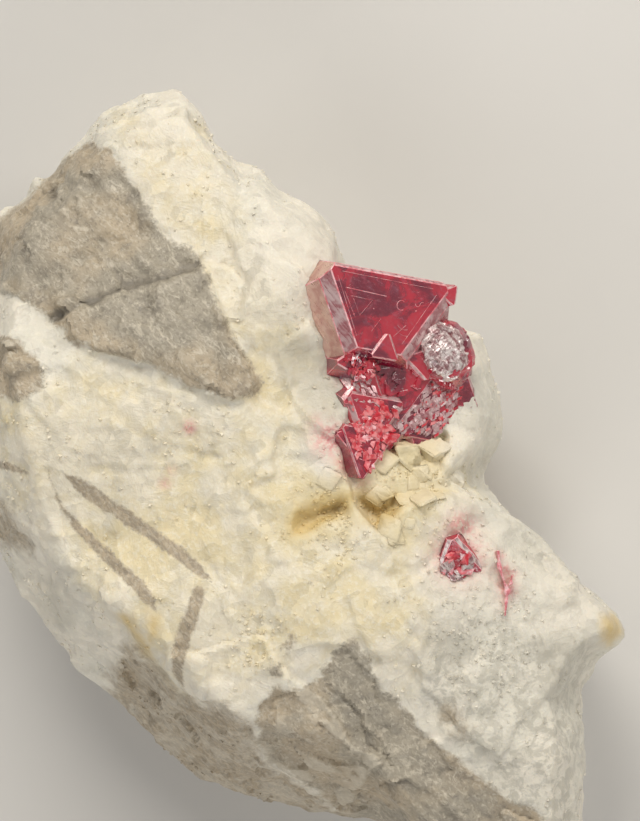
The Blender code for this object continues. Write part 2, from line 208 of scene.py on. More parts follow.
def add(tree, kind, sockets, **settings):
    """One node. Sockets are given by name or number, as a plain value or another node's output."""
    node = tree.nodes.new(kind)
    for key, value in settings.items():
        setattr(node, key, value)
    for key, value in sockets.items():
        socket = node.inputs[key]
        if isinstance(value, bpy.types.NodeSocket):
            tree.links.new(value, socket)
        else:
            socket.default_value = value
    return node


def object_place(tree):
    return add(tree, "ShaderNodeTexCoord", {}).outputs["Object"]


def noise(tree, place, size, detail=3.0, roughness=0.55, distortion=0.0):
    """Noise from 0 to 1 with lumps about this many millimetres across."""
    made = add(
        tree,
        "ShaderNodeTexNoise",
        {
            "Vector": place,
            "Scale": 1 / (size * MM),
            "Detail": detail,
            "Roughness": roughness,
            "Distortion": distortion,
        },
    )
    return made.outputs["Fac"]


def math_node(tree, operation, a, b=0.0, c=0.0):
    return add(tree, "ShaderNodeMath", {0: a, 1: b, 2: c}, operation=operation).outputs[0]


def times(tree, a, b):
    return math_node(tree, "MULTIPLY", a, b)


def add_share(tree, value, share, base):
    """The base plus this share of the value."""
    return math_node(tree, "MULTIPLY_ADD", value, share, base)


def vector_math(tree, operation, first, second=None, scale=None):
    """One step of vector arithmetic. A scale is a number for the whole vector."""
    sockets = {0: first}
    if second is not None:
        sockets[1] = second
    if scale is not None:
        sockets["Scale"] = scale
    return add(tree, "ShaderNodeVectorMath", sockets, operation=operation).outputs


def cells_of(tree, place, size, **settings):
    """Cells about this many millimetres across, in a finish."""
    return add(tree, "ShaderNodeTexVoronoi", {"Vector": place, "Scale": 1 / (size * MM)}, **settings).outputs


def channel(tree, colour, number):
    return add(tree, "ShaderNodeSeparateColor", {"Color": colour}).outputs[number]


def ramp_between(tree, value, low, high, start=0.0, end=1.0):
    """A soft step: start below low, end above high."""
    sockets = {"Value": value, "From Min": low, "From Max": high, "To Min": start, "To Max": end}
    return add(tree, "ShaderNodeMapRange", sockets, interpolation_type="SMOOTHSTEP").outputs["Result"]


def mix_colour(tree, share, first, second, blend="MIX"):
    node = add(tree, "ShaderNodeMix", {}, data_type="RGBA", blend_type=blend)
    for index, value in ((0, share), (6, first), (7, second)):
        if isinstance(value, bpy.types.NodeSocket):
            tree.links.new(value, node.inputs[index])
        else:
            node.inputs[index].default_value = (*value, 1.0) if isinstance(value, tuple) else value
    return node.outputs[2]


def stored(tree, name):
    """A number stored on the mesh's points."""
    return add(tree, "ShaderNodeAttribute", {}, attribute_name=name).outputs["Fac"]


# %% [markdown]
# ## The floor
# A wide sheet with a faint mottle, pale and matt. It is stage, not part of the specimen.

# %% Floor
def pale_floor():
    material, tree, shader = new_finish("pale_floor")
    mottle = noise(tree, object_place(tree), 40.0, 4.0)
    tone = mix_colour(tree, mottle, (0.60, 0.585, 0.56), (0.66, 0.645, 0.62))
    tree.links.new(tone, shader.inputs["Base Color"])
    shader.inputs["Roughness"].default_value = 0.85
    bm = bmesh.new()
    bmesh.ops.create_grid(bm, x_segments=1, y_segments=1, size=3000.0)
    bm.transform(Matrix.Translation((0, 0, -0.02)))
    return to_object(bm, "floor", material)


floor = pale_floor()
floor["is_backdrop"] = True

# %% [markdown]
# ## Noise for broken rock
# Broken dolomite has two kinds of roughness. `lumps` is smooth noise. `chips` gives every small cell its own
# tilted plane, as cleavage leaves on a broken surface. Both use whole-number arithmetic on the cell's place,
# so each run gives the same rock.

# %% Rock noise
def cell_numbers(cell, seed, count):
    """Repeatable random numbers from -1 to 1 for whole-number lattice cells."""
    keys = cell.astype(np.int64) @ np.array([73856093, 19349663, 83492791]) + seed * 6971
    made = []
    for turn in range(count):
        mixed = (keys + turn * 40503) * 2246822519 & 0xFFFFFFFF
        mixed = (mixed ^ (mixed >> 15)) * 3266489917 & 0xFFFFFFFF
        mixed = mixed ^ (mixed >> 13)
        made.append((mixed & 0xFFFFFF) / 0x7FFFFF - 1)
    return np.stack(made, axis=1)


def lumps(points, wavelength, seed):
    place = points / wavelength
    cell = np.floor(place)
    part = place - cell
    part = part * part * (3 - 2 * part)
    total = np.zeros(len(points))
    for corner in itertools.product((0, 1), repeat=3):
        share = np.prod(np.where(np.array(corner) == 1, part, 1 - part), axis=1)
        total += share * cell_numbers(cell + corner, seed, 1)[:, 0]
    return total


def chips(points, size, slope, seed):
    place = points / size
    home = np.floor(place)
    nearest = np.full(len(points), 1e9)
    height = np.zeros(len(points))
    for step in itertools.product((-1, 0, 1), repeat=3):
        numbers = cell_numbers(home + step, seed, 6)
        offset = place - (home + step + 0.5 + 0.42 * numbers[:, :3])
        distance = (offset**2).sum(axis=1)
        closer = distance < nearest
        tilted = (offset * numbers[:, 3:]).sum(axis=1) * size * slope
        nearest = np.where(closer, distance, nearest)
        height = np.where(closer, tilted, height)
    return height


def depth_inside(x, y, outline):
    """Distance in from a closed outline, and below zero outside it."""
    corners = np.array(outline)
    nearest = np.full(len(x), 1e9)
    inside = np.zeros(len(x), bool)
    for a, b in zip(corners, np.roll(corners, -1, axis=0)):
        along = b - a
        t = np.clip(((x - a[0]) * along[0] + (y - a[1]) * along[1]) / (along @ along), 0, 1)
        nearest = np.minimum(nearest, np.hypot(x - a[0] - t * along[0], y - a[1] - t * along[1]))
        crosses = (a[1] > y) != (b[1] > y)
        rise = along[1] if along[1] else 1e-9
        inside ^= crosses & (x < a[0] + (y - a[1]) * along[0] / rise)
    return np.where(inside, nearest, -nearest)


def distance_to_line(x, y, line):
    """Distance from an open line of points."""
    corners = np.array(line)
    nearest = np.full(len(x), 1e9)
    for a, b in zip(corners[:-1], corners[1:]):
        along = b - a
        t = np.clip(((x - a[0]) * along[0] + (y - a[1]) * along[1]) / (along @ along), 0, 1)
        nearest = np.minimum(nearest, np.hypot(x - a[0] - t * along[0], y - a[1] - t * along[1]))
    return nearest


def smooth_step(value):
    t = np.clip(value, 0, 1)
    return t * t * (3 - 2 * t)


# %% [markdown]
# ## The form of the block
# The solids hold the block as flat chips. For the fine rock the same rule is run again on a much denser ball:
# a rim with a height at each point, a front that is the lower envelope of nine broken faces, side walls that
# run in to the flat back, and swellings, ledges and pits. The rim and the faces are the solid's own, so the
# fine rock stays close to it. The lumps and the two pits are shallower here, as the photograph shows them.

# %% Block values
RIM_CENTRE = (0.2, 2.7)
RIM = [
    (-28.9, 14.4, 15), (-26.8, 20.4, 15), (-25.0, 24.6, 16), (-22.4, 26.8, 17), (-20.4, 28.4, 17),
    (-19.7, 29.8, 17), (-17.6, 31.3, 18), (-16.9, 32.8, 18), (-14.8, 34.2, 18), (-11.9, 34.7, 19),
    (-9.4, 35.1, 19), (-7.9, 33.4, 19), (-7.1, 32.2, 19), (-5.7, 30.6, 19), (-4.5, 29.3, 19),
    (-2.9, 29.0, 19), (-0.5, 26.9, 20), (1.3, 25.9, 20), (2.7, 24.7, 20), (3.9, 23.1, 20),
    (4.5, 21.2, 20), (5.5, 18.6, 19), (8.3, 16.0, 18), (12.2, 15.5, 17), (15.1, 14.9, 17),
    (16.7, 14.4, 17), (17.5, 12.9, 17), (18.0, 10.9, 17), (18.8, 9.2, 17), (19.0, 7.4, 17),
    (18.5, 5.3, 17), (17.4, 3.6, 17), (16.5, 2.5, 17), (16.4, 1.2, 17), (18.0, -0.3, 18),
    (19.2, -1.7, 19), (20.8, -2.4, 19), (22.3, -3.7, 19), (24.2, -6.0, 19), (26.1, -8.0, 19),
    (27.8, -9.1, 19), (29.5, -10.9, 18), (29.3, -11.9, 18), (27.9, -12.8, 18), (26.6, -13.5, 18),
    (26.0, -15.0, 17), (25.0, -16.4, 17), (24.9, -18.9, 16), (25.4, -21.1, 16), (25.7, -23.7, 15),
    (25.6, -27.8, 14), (25.3, -31.4, 13), (23.6, -34.2, 12), (20.2, -35.1, 11), (15.8, -34.0, 11),
    (11.4, -30.5, 11), (8.4, -28.2, 11), (3.6, -27.2, 11), (-0.8, -26.1, 11), (-4.7, -25.7, 11),
    (-7.7, -24.4, 11), (-10.4, -22.4, 11), (-14.3, -18.5, 11), (-17.7, -15.2, 12), (-20.9, -12.1, 13),
    (-22.0, -10.3, 14), (-23.5, -7.7, 14), (-25.0, -4.8, 14), (-26.6, -1.7, 14), (-27.8, 2.7, 14),
    (-28.7, 7.0, 14), (-28.9, 10.9, 15),
]
# A point on each broken face, its slopes along x and y, and how far it stays flat
FACES = [
    (1.0, -4.9, 28.0, 0.00, 0.02, 60),
    (-2.4, 17.2, 28.6, -0.33, -0.27, 60),
    (-15.1, 23.1, 25.2, 0.14, -0.22, 20),
    (-15.1, 1.9, 26.8, 0.08, 0.05, 20),
    (-4.9, -18.5, 25.4, 0.80, 1.00, 20),
    (9.5, -20.2, 25.4, 0.00, 0.30, 24),
    (19.7, -15.1, 25.0, -0.32, -0.04, 18),
    (21.0, -7.5, 24.6, -0.62, -0.62, 8),
    (12.9, 7.0, 23.8, -0.62, -0.35, 12),
]
BEYOND_REACH = 1.1
WALL_SLOPE = 2.6
WALL_ROUNDING = 0.9
# x, y, radius and height
SWELLINGS = [
    (0.2, 19.5, 4.2, 0.8), (-13.4, 6.1, 5.5, 0.9), (-21.5, 9.5, 4.0, 0.7), (3.5, -8.5, 5.0, 0.7),
    (-3.5, 1.5, 4.5, 0.6), (14.5, -3.0, 4.0, 0.6), (-12.0, 31.0, 4.0, 0.8), (16.0, 8.6, 3.4, 1.6),
    (2.6, 10.4, 3.6, -1.3), (5.6, 5.4, 2.0, -0.7), (9.2, 6.4, 2.8, -1.8), (14.2, -5.0, 2.3, -1.3),
    (-8.5, -5.5, 3.5, -0.5), (-19.0, -3.0, 4.0, -0.6),
]
STEPPED_CLAST = [
    (-20.2, 17.2), (-14.3, 18.7), (-7.5, 20.1), (-6.2, 17.2), (-4.8, 14.2), (-2.3, 10.5),
    (-2.8, 9.1), (-4.8, 8.8), (-8.3, 9.9), (-11.7, 11.9), (-16.0, 12.9), (-18.5, 13.8),
]
CRYSTAL_POCKET = [
    (4.4, 5.3), (5.7, 0.2), (7.4, -2.0), (9.5, -0.3), (12.9, 1.0), (13.4, 5.7), (8.2, 5.5),
]
LEFT_PIT = [(0.7, -2.4), (1.0, -1.1), (2.6, -0.3), (4.8, 0.4), (4.8, -0.9), (2.9, -1.5), (1.5, -2.4)]
RIGHT_PIT = [(5.9, -0.1), (7.7, -1.9), (9.7, -0.3), (8.8, 0.2), (7.8, -0.5), (6.8, 0.2)]
LEDGES = [
    (STEPPED_CLAST, 1.1, 0.45),
    (CRYSTAL_POCKET, -1.5, 1.2),
    (LEFT_PIT, -1.25, 1.0),
    (RIGHT_PIT, -1.15, 0.9),
]
# Height of the lumps on each broken face
FACE_LUMPS = 0.32
BASE_SHARE = 0.76
BASE_SINK = 0.9
LUMPS = [(9.0, 0.55), (4.2, 0.24), (2.0, 0.08)]
CHIPS = [(6.0, 0.16), (2.8, 0.16)]
RIM_PART = 62 / 96
WALL_PART = 20 / 96

# %% Block rule
def rim_at(angle):
    """Radius and height of the rim in each direction from its centre."""
    rim = np.array(RIM, float)
    across = rim[:, :2] - RIM_CENTRE
    turn = np.arctan2(across[:, 1], across[:, 0])
    order = np.argsort(turn)
    radius = np.hypot(across[:, 0], across[:, 1])[order]
    return (
        np.interp(angle, turn[order], radius, period=2 * math.pi),
        np.interp(angle, turn[order], rim[order, 2], period=2 * math.pi),
    )


def front_height(x, y, inset, rim_height):
    """Height of the broken front at each place. The inset is the distance in from the rim."""
    flat = np.stack([x, y, np.zeros(len(x))], axis=1)
    surface = np.full(len(x), 1e9)
    for seed, (fx, fy, fz, slope_x, slope_y, reach) in enumerate(FACES):
        face = fz + slope_x * (x - fx) + slope_y * (y - fy) + FACE_LUMPS * lumps(flat, 4.5, 40 + seed)
        face += BEYOND_REACH * np.maximum(np.hypot(x - fx, y - fy) - reach, 0)
        surface = np.minimum(surface, face)
    for sx, sy, radius, height in SWELLINGS:
        surface += height * np.exp(-((x - sx) ** 2 + (y - sy) ** 2) / radius**2)
    for outline, rise, width in LEDGES:
        surface += rise * smooth_step(0.5 + depth_inside(x, y, outline) / width)
    wall = rim_height + WALL_SLOPE * inset / (1 + inset * 0.04)
    blend = np.clip(0.5 + 0.5 * (wall - surface) / WALL_ROUNDING, 0, 1)
    return wall + (surface - wall) * blend - WALL_ROUNDING * blend * (1 - blend)


def shape_block(points):
    """Carries the points of a unit ball onto the block."""
    angle = np.arctan2(points[:, 1], points[:, 0])
    fall = np.arccos(np.clip(points[:, 2], -1, 1)) / math.pi
    radius, rim_height = rim_at(angle)
    front = fall <= RIM_PART
    wall = np.clip((fall - RIM_PART) / WALL_PART, 0, 1)
    under = np.clip((fall - RIM_PART - WALL_PART) / (1 - RIM_PART - WALL_PART), 0, 1)
    share = np.where(front, fall / RIM_PART, 1 - (1 - BASE_SHARE) * wall**1.5)
    share = np.where(under > 0, BASE_SHARE * (1 - under), share)
    x = RIM_CENTRE[0] + radius * share * np.cos(angle)
    y = RIM_CENTRE[1] + radius * share * np.sin(angle)
    edge_x = RIM_CENTRE[0] + radius * np.cos(angle)
    edge_y = RIM_CENTRE[1] + radius * np.sin(angle)
    edge_z = front_height(edge_x, edge_y, np.zeros(len(x)), rim_height)
    down = (edge_z + BASE_SINK) * (1 - wall**1.1) - BASE_SINK
    z = np.where(front, front_height(x, y, radius * (1 - share), rim_height), down)
    return np.stack([x, y, z], axis=1)


# %% [markdown]
# ## Where the grey rock, the stains and the cracks are
# On the real block the grey pieces of the host rock float in white vein filling. They are only colour and a
# slightly different break, so each is an outline traced on the photograph. The mesh stores, for every point,
# how deep it lies inside each kind of patch. The finish later breaks that smooth border up with noise.

# %% Patches, traced in pixels of the photograph
GREY_PATCHES = [
    [(-60, 235), (0, 213), (28, 188), (60, 155), (84, 140), (112, 150), (130, 180), (145, 205), (160, 235),
     (190, 250), (202, 268), (215, 300), (232, 335), (262, 378), (258, 392), (232, 398), (190, 388),
     (150, 365), (100, 352), (70, 340), (50, 318), (28, 300), (0, 292), (-60, 290)],
    [(-60, 325), (0, 338), (18, 343), (40, 362), (42, 388), (30, 398), (-60, 395)],
    [(256, 724), (262, 698), (276, 684), (300, 690), (322, 676), (340, 648), (354, 636), (368, 656),
     (380, 692), (398, 700), (428, 738), (470, 772), (500, 794), (545, 818), (560, 900), (345, 900),
     (335, 815), (300, 786), (264, 762)],
    [(290, 634), (298, 640), (296, 650), (286, 652), (280, 644)],
    [(270, 668), (278, 666), (282, 672), (274, 677)],
]
BROWN_PATCHES = [
    [(125, 640), (150, 668), (182, 700), (222, 708), (250, 726), (262, 764), (300, 788), (335, 812),
     (345, 860), (250, 870), (150, 780), (108, 690)],
    [(-40, 500), (0, 508), (14, 526), (32, 548), (26, 557), (8, 545), (-40, 545)],
    [(440, 706), (458, 712), (470, 730), (458, 733), (446, 720)],
]
# Middle line and half width of the thin dark bands
STRINGERS = [
    [(64, 474, 1), (74, 481, 5), (92, 494, 7.5), (132, 521, 6.5),
     (170, 546, 6.5), (194, 566, 5.5), (211, 580, 1)],
    [(48, 472, 0.6), (60, 505, 1.2), (76, 526, 4), (108, 558, 6),
     (138, 585, 6), (149, 598, 5), (156, 610, 1)],
    [(199, 592, 6), (190, 620, 7.5), (180, 650, 8), (177, 668, 6), (183, 688, 1)],
    [(-30, 462, 3), (8, 467, 3.5), (26, 473, 1)],
]
MOTTLED_PATCHES = [
    [(430, 625), (470, 612), (500, 620), (530, 645), (590, 640),
     (600, 660), (590, 700), (583, 821), (590, 900),
     (520, 850), (470, 770), (415, 700)],
    [(510, 520), (530, 528), (570, 560), (612, 600), (600, 606), (560, 580), (520, 552)],
]
BLUISH_PATCHES = [
    [(272, 346), (300, 330), (344, 344), (356, 400), (334, 430), (302, 408), (282, 380)],
    [(538, 640), (560, 630), (585, 640), (590, 665), (575, 708), (545, 702), (535, 670)],
    [(430, 630), (450, 622), (470, 640), (465, 665), (445, 668)],
    [(38, 580), (62, 572), (72, 600), (66, 630), (50, 640), (38, 610)],
]
CREAM_PATCHES = [
    [(-20, 400), (40, 400), (100, 366), (190, 400), (240, 425),
     (300, 470), (330, 500), (420, 440), (450, 440),
     (470, 500), (420, 560), (430, 640), (400, 690), (340, 640),
     (250, 690), (190, 690), (130, 640), (80, 560),
     (20, 500)],
    [(120, 120), (200, 130), (240, 250), (290, 300), (330, 400),
     (290, 440), (250, 400), (190, 250), (140, 200)],
    [(345, 470), (372, 435), (440, 430), (446, 480), (410, 548), (360, 500)],
]
YELLOW_PATCHES = [
    [(378, 432), (420, 430), (446, 440), (448, 490), (430, 515),
     (405, 512), (372, 500), (352, 480), (362, 455)],
    [(384, 514), (412, 514), (412, 550), (386, 550)],
    [(300, 478), (350, 470), (372, 520), (330, 545), (290, 540), (282, 510)],
]
OCHRE_PATCHES = [
    [(292, 534), (288, 522), (296, 506), (326, 494), (356, 490), (352, 512), (330, 522), (308, 534)],
    [(354, 494), (368, 522), (380, 530), (400, 512), (396, 494)],
    [(604, 620), (618, 618), (628, 635), (614, 650), (604, 645)],
    [(118, 614), (126, 614), (146, 642), (152, 658), (144, 656), (132, 636)],
    [(148, 612), (160, 616), (158, 634), (150, 640)],
]
CRACKS = [
    ([(352, 452), (350, 470), (356, 492), (372, 515), (380, 524)], 0.40),
    ([(48, 470), (55, 495), (62, 520), (64, 545)], 0.22),
    ([(50, 318), (78, 304), (112, 289), (135, 281), (160, 276), (198, 263)], 0.50),
    ([(205, 262), (232, 266), (245, 285), (240, 310)], 0.12),
    ([(118, 630), (150, 668), (182, 698)], 0.35),
    ([(392, 548), (402, 590), (430, 625)], 0.18),
]
# A raised shell with one sharp border: outline, height and how far in it fades
SHELLS = [
    ([(274, 350), (280, 378), (300, 410), (334, 434), (356, 404), (346, 344), (310, 322)], 0.45, 2.4),
    ([(200, 257), (236, 266), (245, 286), (240, 318), (220, 322), (206, 290)], 0.40, 1.5),
    ([(150, 660), (184, 696), (222, 706), (250, 726),
      (262, 764), (340, 812), (380, 760), (260, 640)], 0.50, 1.6),
    ([(400, 590), (440, 560), (520, 600), (560, 680), (500, 760), (420, 690)], 0.35, 2.0),
    ([(30, 400), (110, 366), (190, 396), (230, 440), (160, 470), (60, 450)], 0.18, 1.8),
    ([(228, 236), (262, 250), (318, 268), (330, 300), (290, 300), (240, 270)], 0.20, 1.4),
    ([(215, 470), (262, 500), (280, 560), (240, 600), (200, 540)], 0.16, 1.6),
]
STAINS = {
    "brown": BROWN_PATCHES,
    "mottled": MOTTLED_PATCHES,
    "bluish": BLUISH_PATCHES,
    "cream": CREAM_PATCHES,
    "yellow": YELLOW_PATCHES,
    "ochre": OCHRE_PATCHES,
}
# Centre and reach in pixels, and strength
PINK_SPOTS = [
    (330, 440, 16, 0.9), (345, 462, 12, 0.7), (318, 425, 10, 0.4),
    (459, 556, 23, 0.95), (461, 528, 15, 0.8),
    (505, 570, 7, 0.7), (508, 590, 9, 0.8), (500, 556, 5, 0.7), (512, 575, 6, 0.7), (190, 427, 6, 0.8),
    (165, 483, 6, 0.4), (345, 380, 10, 0.5), (362, 480, 8, 0.4), (312, 300, 8, 0.3), (172, 470, 5, 0.3),
]


# On the side walls the patches wander and end raggedly: heights, and how far they wander, in millimetres
WALL_TOP, WALL_FADE = 14.0, 6.0
WALL_WANDER = 2.6
PATCH_END = 7.5


def deepest(x, y, patches):
    return np.max([depth_inside(x, y, traced(patch)) for patch in patches], axis=0)


def band_depth(x, y, band):
    """Depth inside a band with a middle line and half widths."""
    depth = np.full(len(x), -1e9)
    for (ax, ay, a_half), (bx, by, b_half) in zip(band[:-1], band[1:]):
        start, end = np.array(on_rock(ax, ay)), np.array(on_rock(bx, by))
        along = end - start
        t = np.clip(((x - start[0]) * along[0] + (y - start[1]) * along[1]) / (along @ along), 0, 1)
        away = np.hypot(x - start[0] - t * along[0], y - start[1] - t * along[1])
        depth = np.maximum(depth, (a_half + (b_half - a_half) * t) * PIXEL - away)
    return depth


def store_number(mesh, name, values):
    held = mesh.attributes.get(name) or mesh.attributes.new(name, "FLOAT", "POINT")
    held.data.foreach_set("value", values.astype(np.float32))


def store_patches(mesh):
    """How deep each point lies inside each kind of patch, in millimetres."""
    points = places_of(mesh)
    wall = smooth_step((WALL_TOP - points[:, 2]) / WALL_FADE)
    x = points[:, 0] + WALL_WANDER * wall * lumps(points, 5.0, 121)
    y = points[:, 1] + WALL_WANDER * wall * lumps(points, 5.0, 122)
    ragged_end = 0.5 * (points[:, 2] - PATCH_END) + 2.5 * lumps(points, 5.5, 120)
    bands = np.max([band_depth(x, y, band) for band in STRINGERS], axis=0)
    store_number(mesh, "grey", np.minimum(deepest(x, y, GREY_PATCHES), ragged_end))
    store_number(mesh, "stringer", np.minimum(bands, ragged_end))
    for name, patches in STAINS.items():
        store_number(mesh, name, deepest(x, y, patches))
    pink = np.zeros(len(points))
    for px, py, reach, strength in PINK_SPOTS:
        cx, cy = on_rock(px, py)
        pink = np.maximum(pink, strength * np.exp(-((x - cx) ** 2 + (y - cy) ** 2) / (reach * PIXEL) ** 2))
    store_number(mesh, "pink", pink)


# %% [markdown]
# ## The fine rock
# A dense ball is carried onto the block and roughened. A voxel remesh then gives it an even skin with no
# crossings. The cracks and the raised shells are stored as numbers on that skin, for the next step.

# %% Rock ball
BALL_SEGMENTS, BALL_RINGS = 420, 220
SKIN_GRAIN = 0.275
CHIP_SHARE = 0.55


def rock_ball():
    bm = bmesh.new()
    bmesh.ops.create_uvsphere(bm, u_segments=BALL_SEGMENTS, v_segments=BALL_RINGS, radius=1.0)
    ball = to_object(bm, "dolomite_rock")
    placed = shape_block(places_of(ball.data))
    move_to(ball.data, placed)
    rise = np.zeros(len(placed))
    for seed, (wavelength, height) in enumerate(LUMPS):
        rise += height * lumps(placed, wavelength, seed)
    for seed, (size, slope) in enumerate(CHIPS):
        rise += CHIP_SHARE * chips(placed, size, slope, 20 + seed)
    move_to(ball.data, placed + normals_of(ball.data) * rise[:, None])
    skin = ball.modifiers.new("even skin", "REMESH")
    skin.mode = "VOXEL"
    skin.voxel_size = SKIN_GRAIN * MM
    return baked(ball)


def crack_and_shell_height(points, front):
    """How far the cracks sink and the shells rise at each point."""
    x, y = points[:, 0], points[:, 1]
    rise = np.zeros(len(points))
    wander = 0.14 * lumps(points, 0.9, 80)
    wide_wander = 0.7 * lumps(points, 2.8, 81) + wander
    for line, width in CRACKS:
        away = distance_to_line(x, y, traced(line)) + wander
        rise -= 1.1 * width * np.exp(-((away / width) ** 2))
    for outline, height, reach in SHELLS:
        depth = depth_inside(x, y, traced(outline)) + wide_wander
        rise += height * smooth_step(0.5 + depth / 0.35) * np.exp(-np.maximum(depth, 0) / reach)
    return rise * front


rock = rock_ball()
skin_points, skin_normals = places_of(rock.data), normals_of(rock.data)
grey_depth = np.maximum(
    deepest(skin_points[:, 0], skin_points[:, 1], GREY_PATCHES),
    deepest(skin_points[:, 0], skin_points[:, 1], BROWN_PATCHES),
)
front = smooth_step((skin_normals[:, 2] + 0.1) / 0.4)
store_number(rock.data, "grey_share", smooth_step(0.5 + grey_depth / 0.8) * front)
store_number(rock.data, "crack_height", crack_and_shell_height(skin_points, front))
print("rock skin:", triangles(rock), "triangles,", round(time.time() - START, 1), "s")

# %% [markdown]
# ## Breaking the skin with Geometry Nodes
# The fine break of the surface is the same rule at every point, so a node tree does it: rounded lumps and
# softly tilted cells on the vein, and sharp flaky cells, drawn out towards the lower right, on the grey rock.
# The tree also stores the height it added, so the finish can paint the raised flakes paler and the hollows
# darker on the grey rock: painted highlight and painted shade.

# %% Node tree of the broken skin
# Size in millimetres and height or slope
VEIN_LUMPS = [(3.4, 0.17), (1.3, 0.08), (0.55, 0.045)]
VEIN_CHIPS = [(2.4, 0.10), (0.9, 0.08)]
GREY_LUMPS = [(2.6, 0.20), (0.5, 0.05)]
GREY_CHIPS = [(3.0, 0.13), (1.2, 0.15)]
FLAKE_TURN = math.radians(50)
FLAKE_STRETCH = (0.42, 1.0, 0.7)
# Middle of the random vectors, whose parts run from 0 to 1
MIDDLE = (0.5, 0.5, 0.5)


def turned_place(tree, place, angle, stretch):
    """The place turned about Z, then squeezed along one direction so that a texture is drawn out there."""
    turned = add(tree, "ShaderNodeVectorRotate", {"Vector": place, "Angle": angle}, rotation_type="Z_AXIS")
    return vector_math(tree, "MULTIPLY", turned.outputs[0], stretch)[0]


def lump_height(tree, place, size, height):
    sockets = {"Vector": place, "Scale": 1 / size, "Detail": 2.0, "Roughness": 0.5}
    made = add(tree, "ShaderNodeTexNoise", sockets).outputs[0]
    return times(tree, math_node(tree, "SUBTRACT", made, 0.5), 2 * height)


def chip_height(tree, place, size, slope, feature):
    """Every cell is a plane with its own tilt. The smooth feature rounds the borders."""
    cells = add(tree, "ShaderNodeTexVoronoi", {"Vector": place, "Scale": 1 / size}, feature=feature)
    offset = vector_math(tree, "SUBTRACT", place, cells.outputs["Position"])[0]
    lean = vector_math(tree, "SUBTRACT", cells.outputs["Color"], MIDDLE)[0]
    tilt = vector_math(tree, "DOT_PRODUCT", offset, lean)["Value"]
    return times(tree, tilt, 2 * slope)


def summed(tree, heights):
    total = heights[0]
    for height in heights[1:]:
        total = math_node(tree, "ADD", total, height)
    return total


def named_number(tree, name):
    """A number stored on the mesh, in a geometry tree."""
    node = add(tree, "GeometryNodeInputNamedAttribute", {"Name": name}, data_type="FLOAT")
    return node.outputs["Attribute"]


def broken_skin_tree():
    tree = bpy.data.node_groups.new("broken skin", "GeometryNodeTree")
    tree.interface.new_socket("Geometry", in_out="INPUT", socket_type="NodeSocketGeometry")
    for name in ("Vein Roughness", "Grey Roughness"):
        tree.interface.new_socket(name, in_out="INPUT", socket_type="NodeSocketFloat")
    tree.interface.new_socket("Geometry", in_out="OUTPUT", socket_type="NodeSocketGeometry")
    given = tree.nodes.new("NodeGroupInput").outputs
    position = tree.nodes.new("GeometryNodeInputPosition").outputs[0]
    place = vector_math(tree, "SCALE", position, scale=1 / MM)[0]
    flaky = turned_place(tree, place, FLAKE_TURN, FLAKE_STRETCH)
    vein = [lump_height(tree, place, size, height) for size, height in VEIN_LUMPS]
    vein += [chip_height(tree, place, size, slope, "SMOOTH_F1") for size, slope in VEIN_CHIPS]
    grey = [lump_height(tree, place, size, height) for size, height in GREY_LUMPS]
    grey += [chip_height(tree, flaky, size, slope, "F1") for size, slope in GREY_CHIPS]
    vein_height = times(tree, summed(tree, vein), given["Vein Roughness"])
    grey_height = times(tree, summed(tree, grey), given["Grey Roughness"])
    share, cracks = named_number(tree, "grey_share"), named_number(tree, "crack_height")
    difference = math_node(tree, "SUBTRACT", grey_height, vein_height)
    rise = add_share(tree, difference, share, vein_height)
    rise = math_node(tree, "ADD", rise, cracks)
    kept = add(
        tree,
        "GeometryNodeStoreNamedAttribute",
        {"Geometry": given["Geometry"], "Name": "relief", "Value": rise},
        data_type="FLOAT",
        domain="POINT",
    )
    normal = tree.nodes.new("GeometryNodeInputNormal").outputs[0]
    metres = times(tree, rise, MM)
    offset = vector_math(tree, "SCALE", normal, scale=metres)[0]
    sockets = {"Geometry": kept.outputs["Geometry"], "Offset": offset}
    moved = add(tree, "GeometryNodeSetPosition", sockets)
    result = tree.nodes.new("NodeGroupOutput")
    tree.links.new(moved.outputs["Geometry"], result.inputs["Geometry"])
    return tree


def give_nodes(obj, tree, values):
    """A nodes modifier with its named inputs filled in."""
    step = obj.modifiers.new(tree.name, "NODES")
    step.node_group = tree
    for socket in tree.interface.items_tree:
        if socket.in_out == "INPUT" and socket.name in values:
            step[socket.identifier] = values[socket.name]
    return step


give_nodes(rock, broken_skin_tree(), {"Vein Roughness": 1.0, "Grey Roughness": 1.0})

# %% [markdown]
# ## A lighter back
# Nobody sees the back and the low walls close up, so a Decimate modifier takes most triangles away there. A
# vertex group tells it where, and the share is worked out so that the front keeps all of its own.

# %% Lighter back
BACK_TRIANGLES = 36000


def lighten_back(obj):
    mesh = obj.data
    points, normals = places_of(mesh), normals_of(mesh)
    back = (normals[:, 2] < 0.12) | (points[:, 2] < 9.0)
    group = obj.vertex_groups.new(name="seldom seen")
    group.add(np.flatnonzero(back).tolist(), 1.0, "REPLACE")
    corners = np.empty(len(mesh.loops), np.int32)
    mesh.loops.foreach_get("vertex_index", corners)
    front_triangles = int((~back[corners].reshape(-1, 4)).all(axis=1).sum()) * 2
    step = obj.modifiers.new("lighter back", "DECIMATE")
    step.vertex_group = group.name
    step.ratio = min(1.0, (front_triangles + BACK_TRIANGLES) / triangles(obj))
    print("front:", front_triangles, "triangles")


lighten_back(rock)

# %% [markdown]
# ## Cinnabar's own geometry
# Cinnabar is trigonal. Its plates end in a three-sided face, with two steeper forms at 46.6 and 69.3 degrees
# to it along each edge. A twin is the same plate turned by 180 degrees about the face's normal, so its
# triangle points the other way. Each plate is a block cut by planes at just these angles.

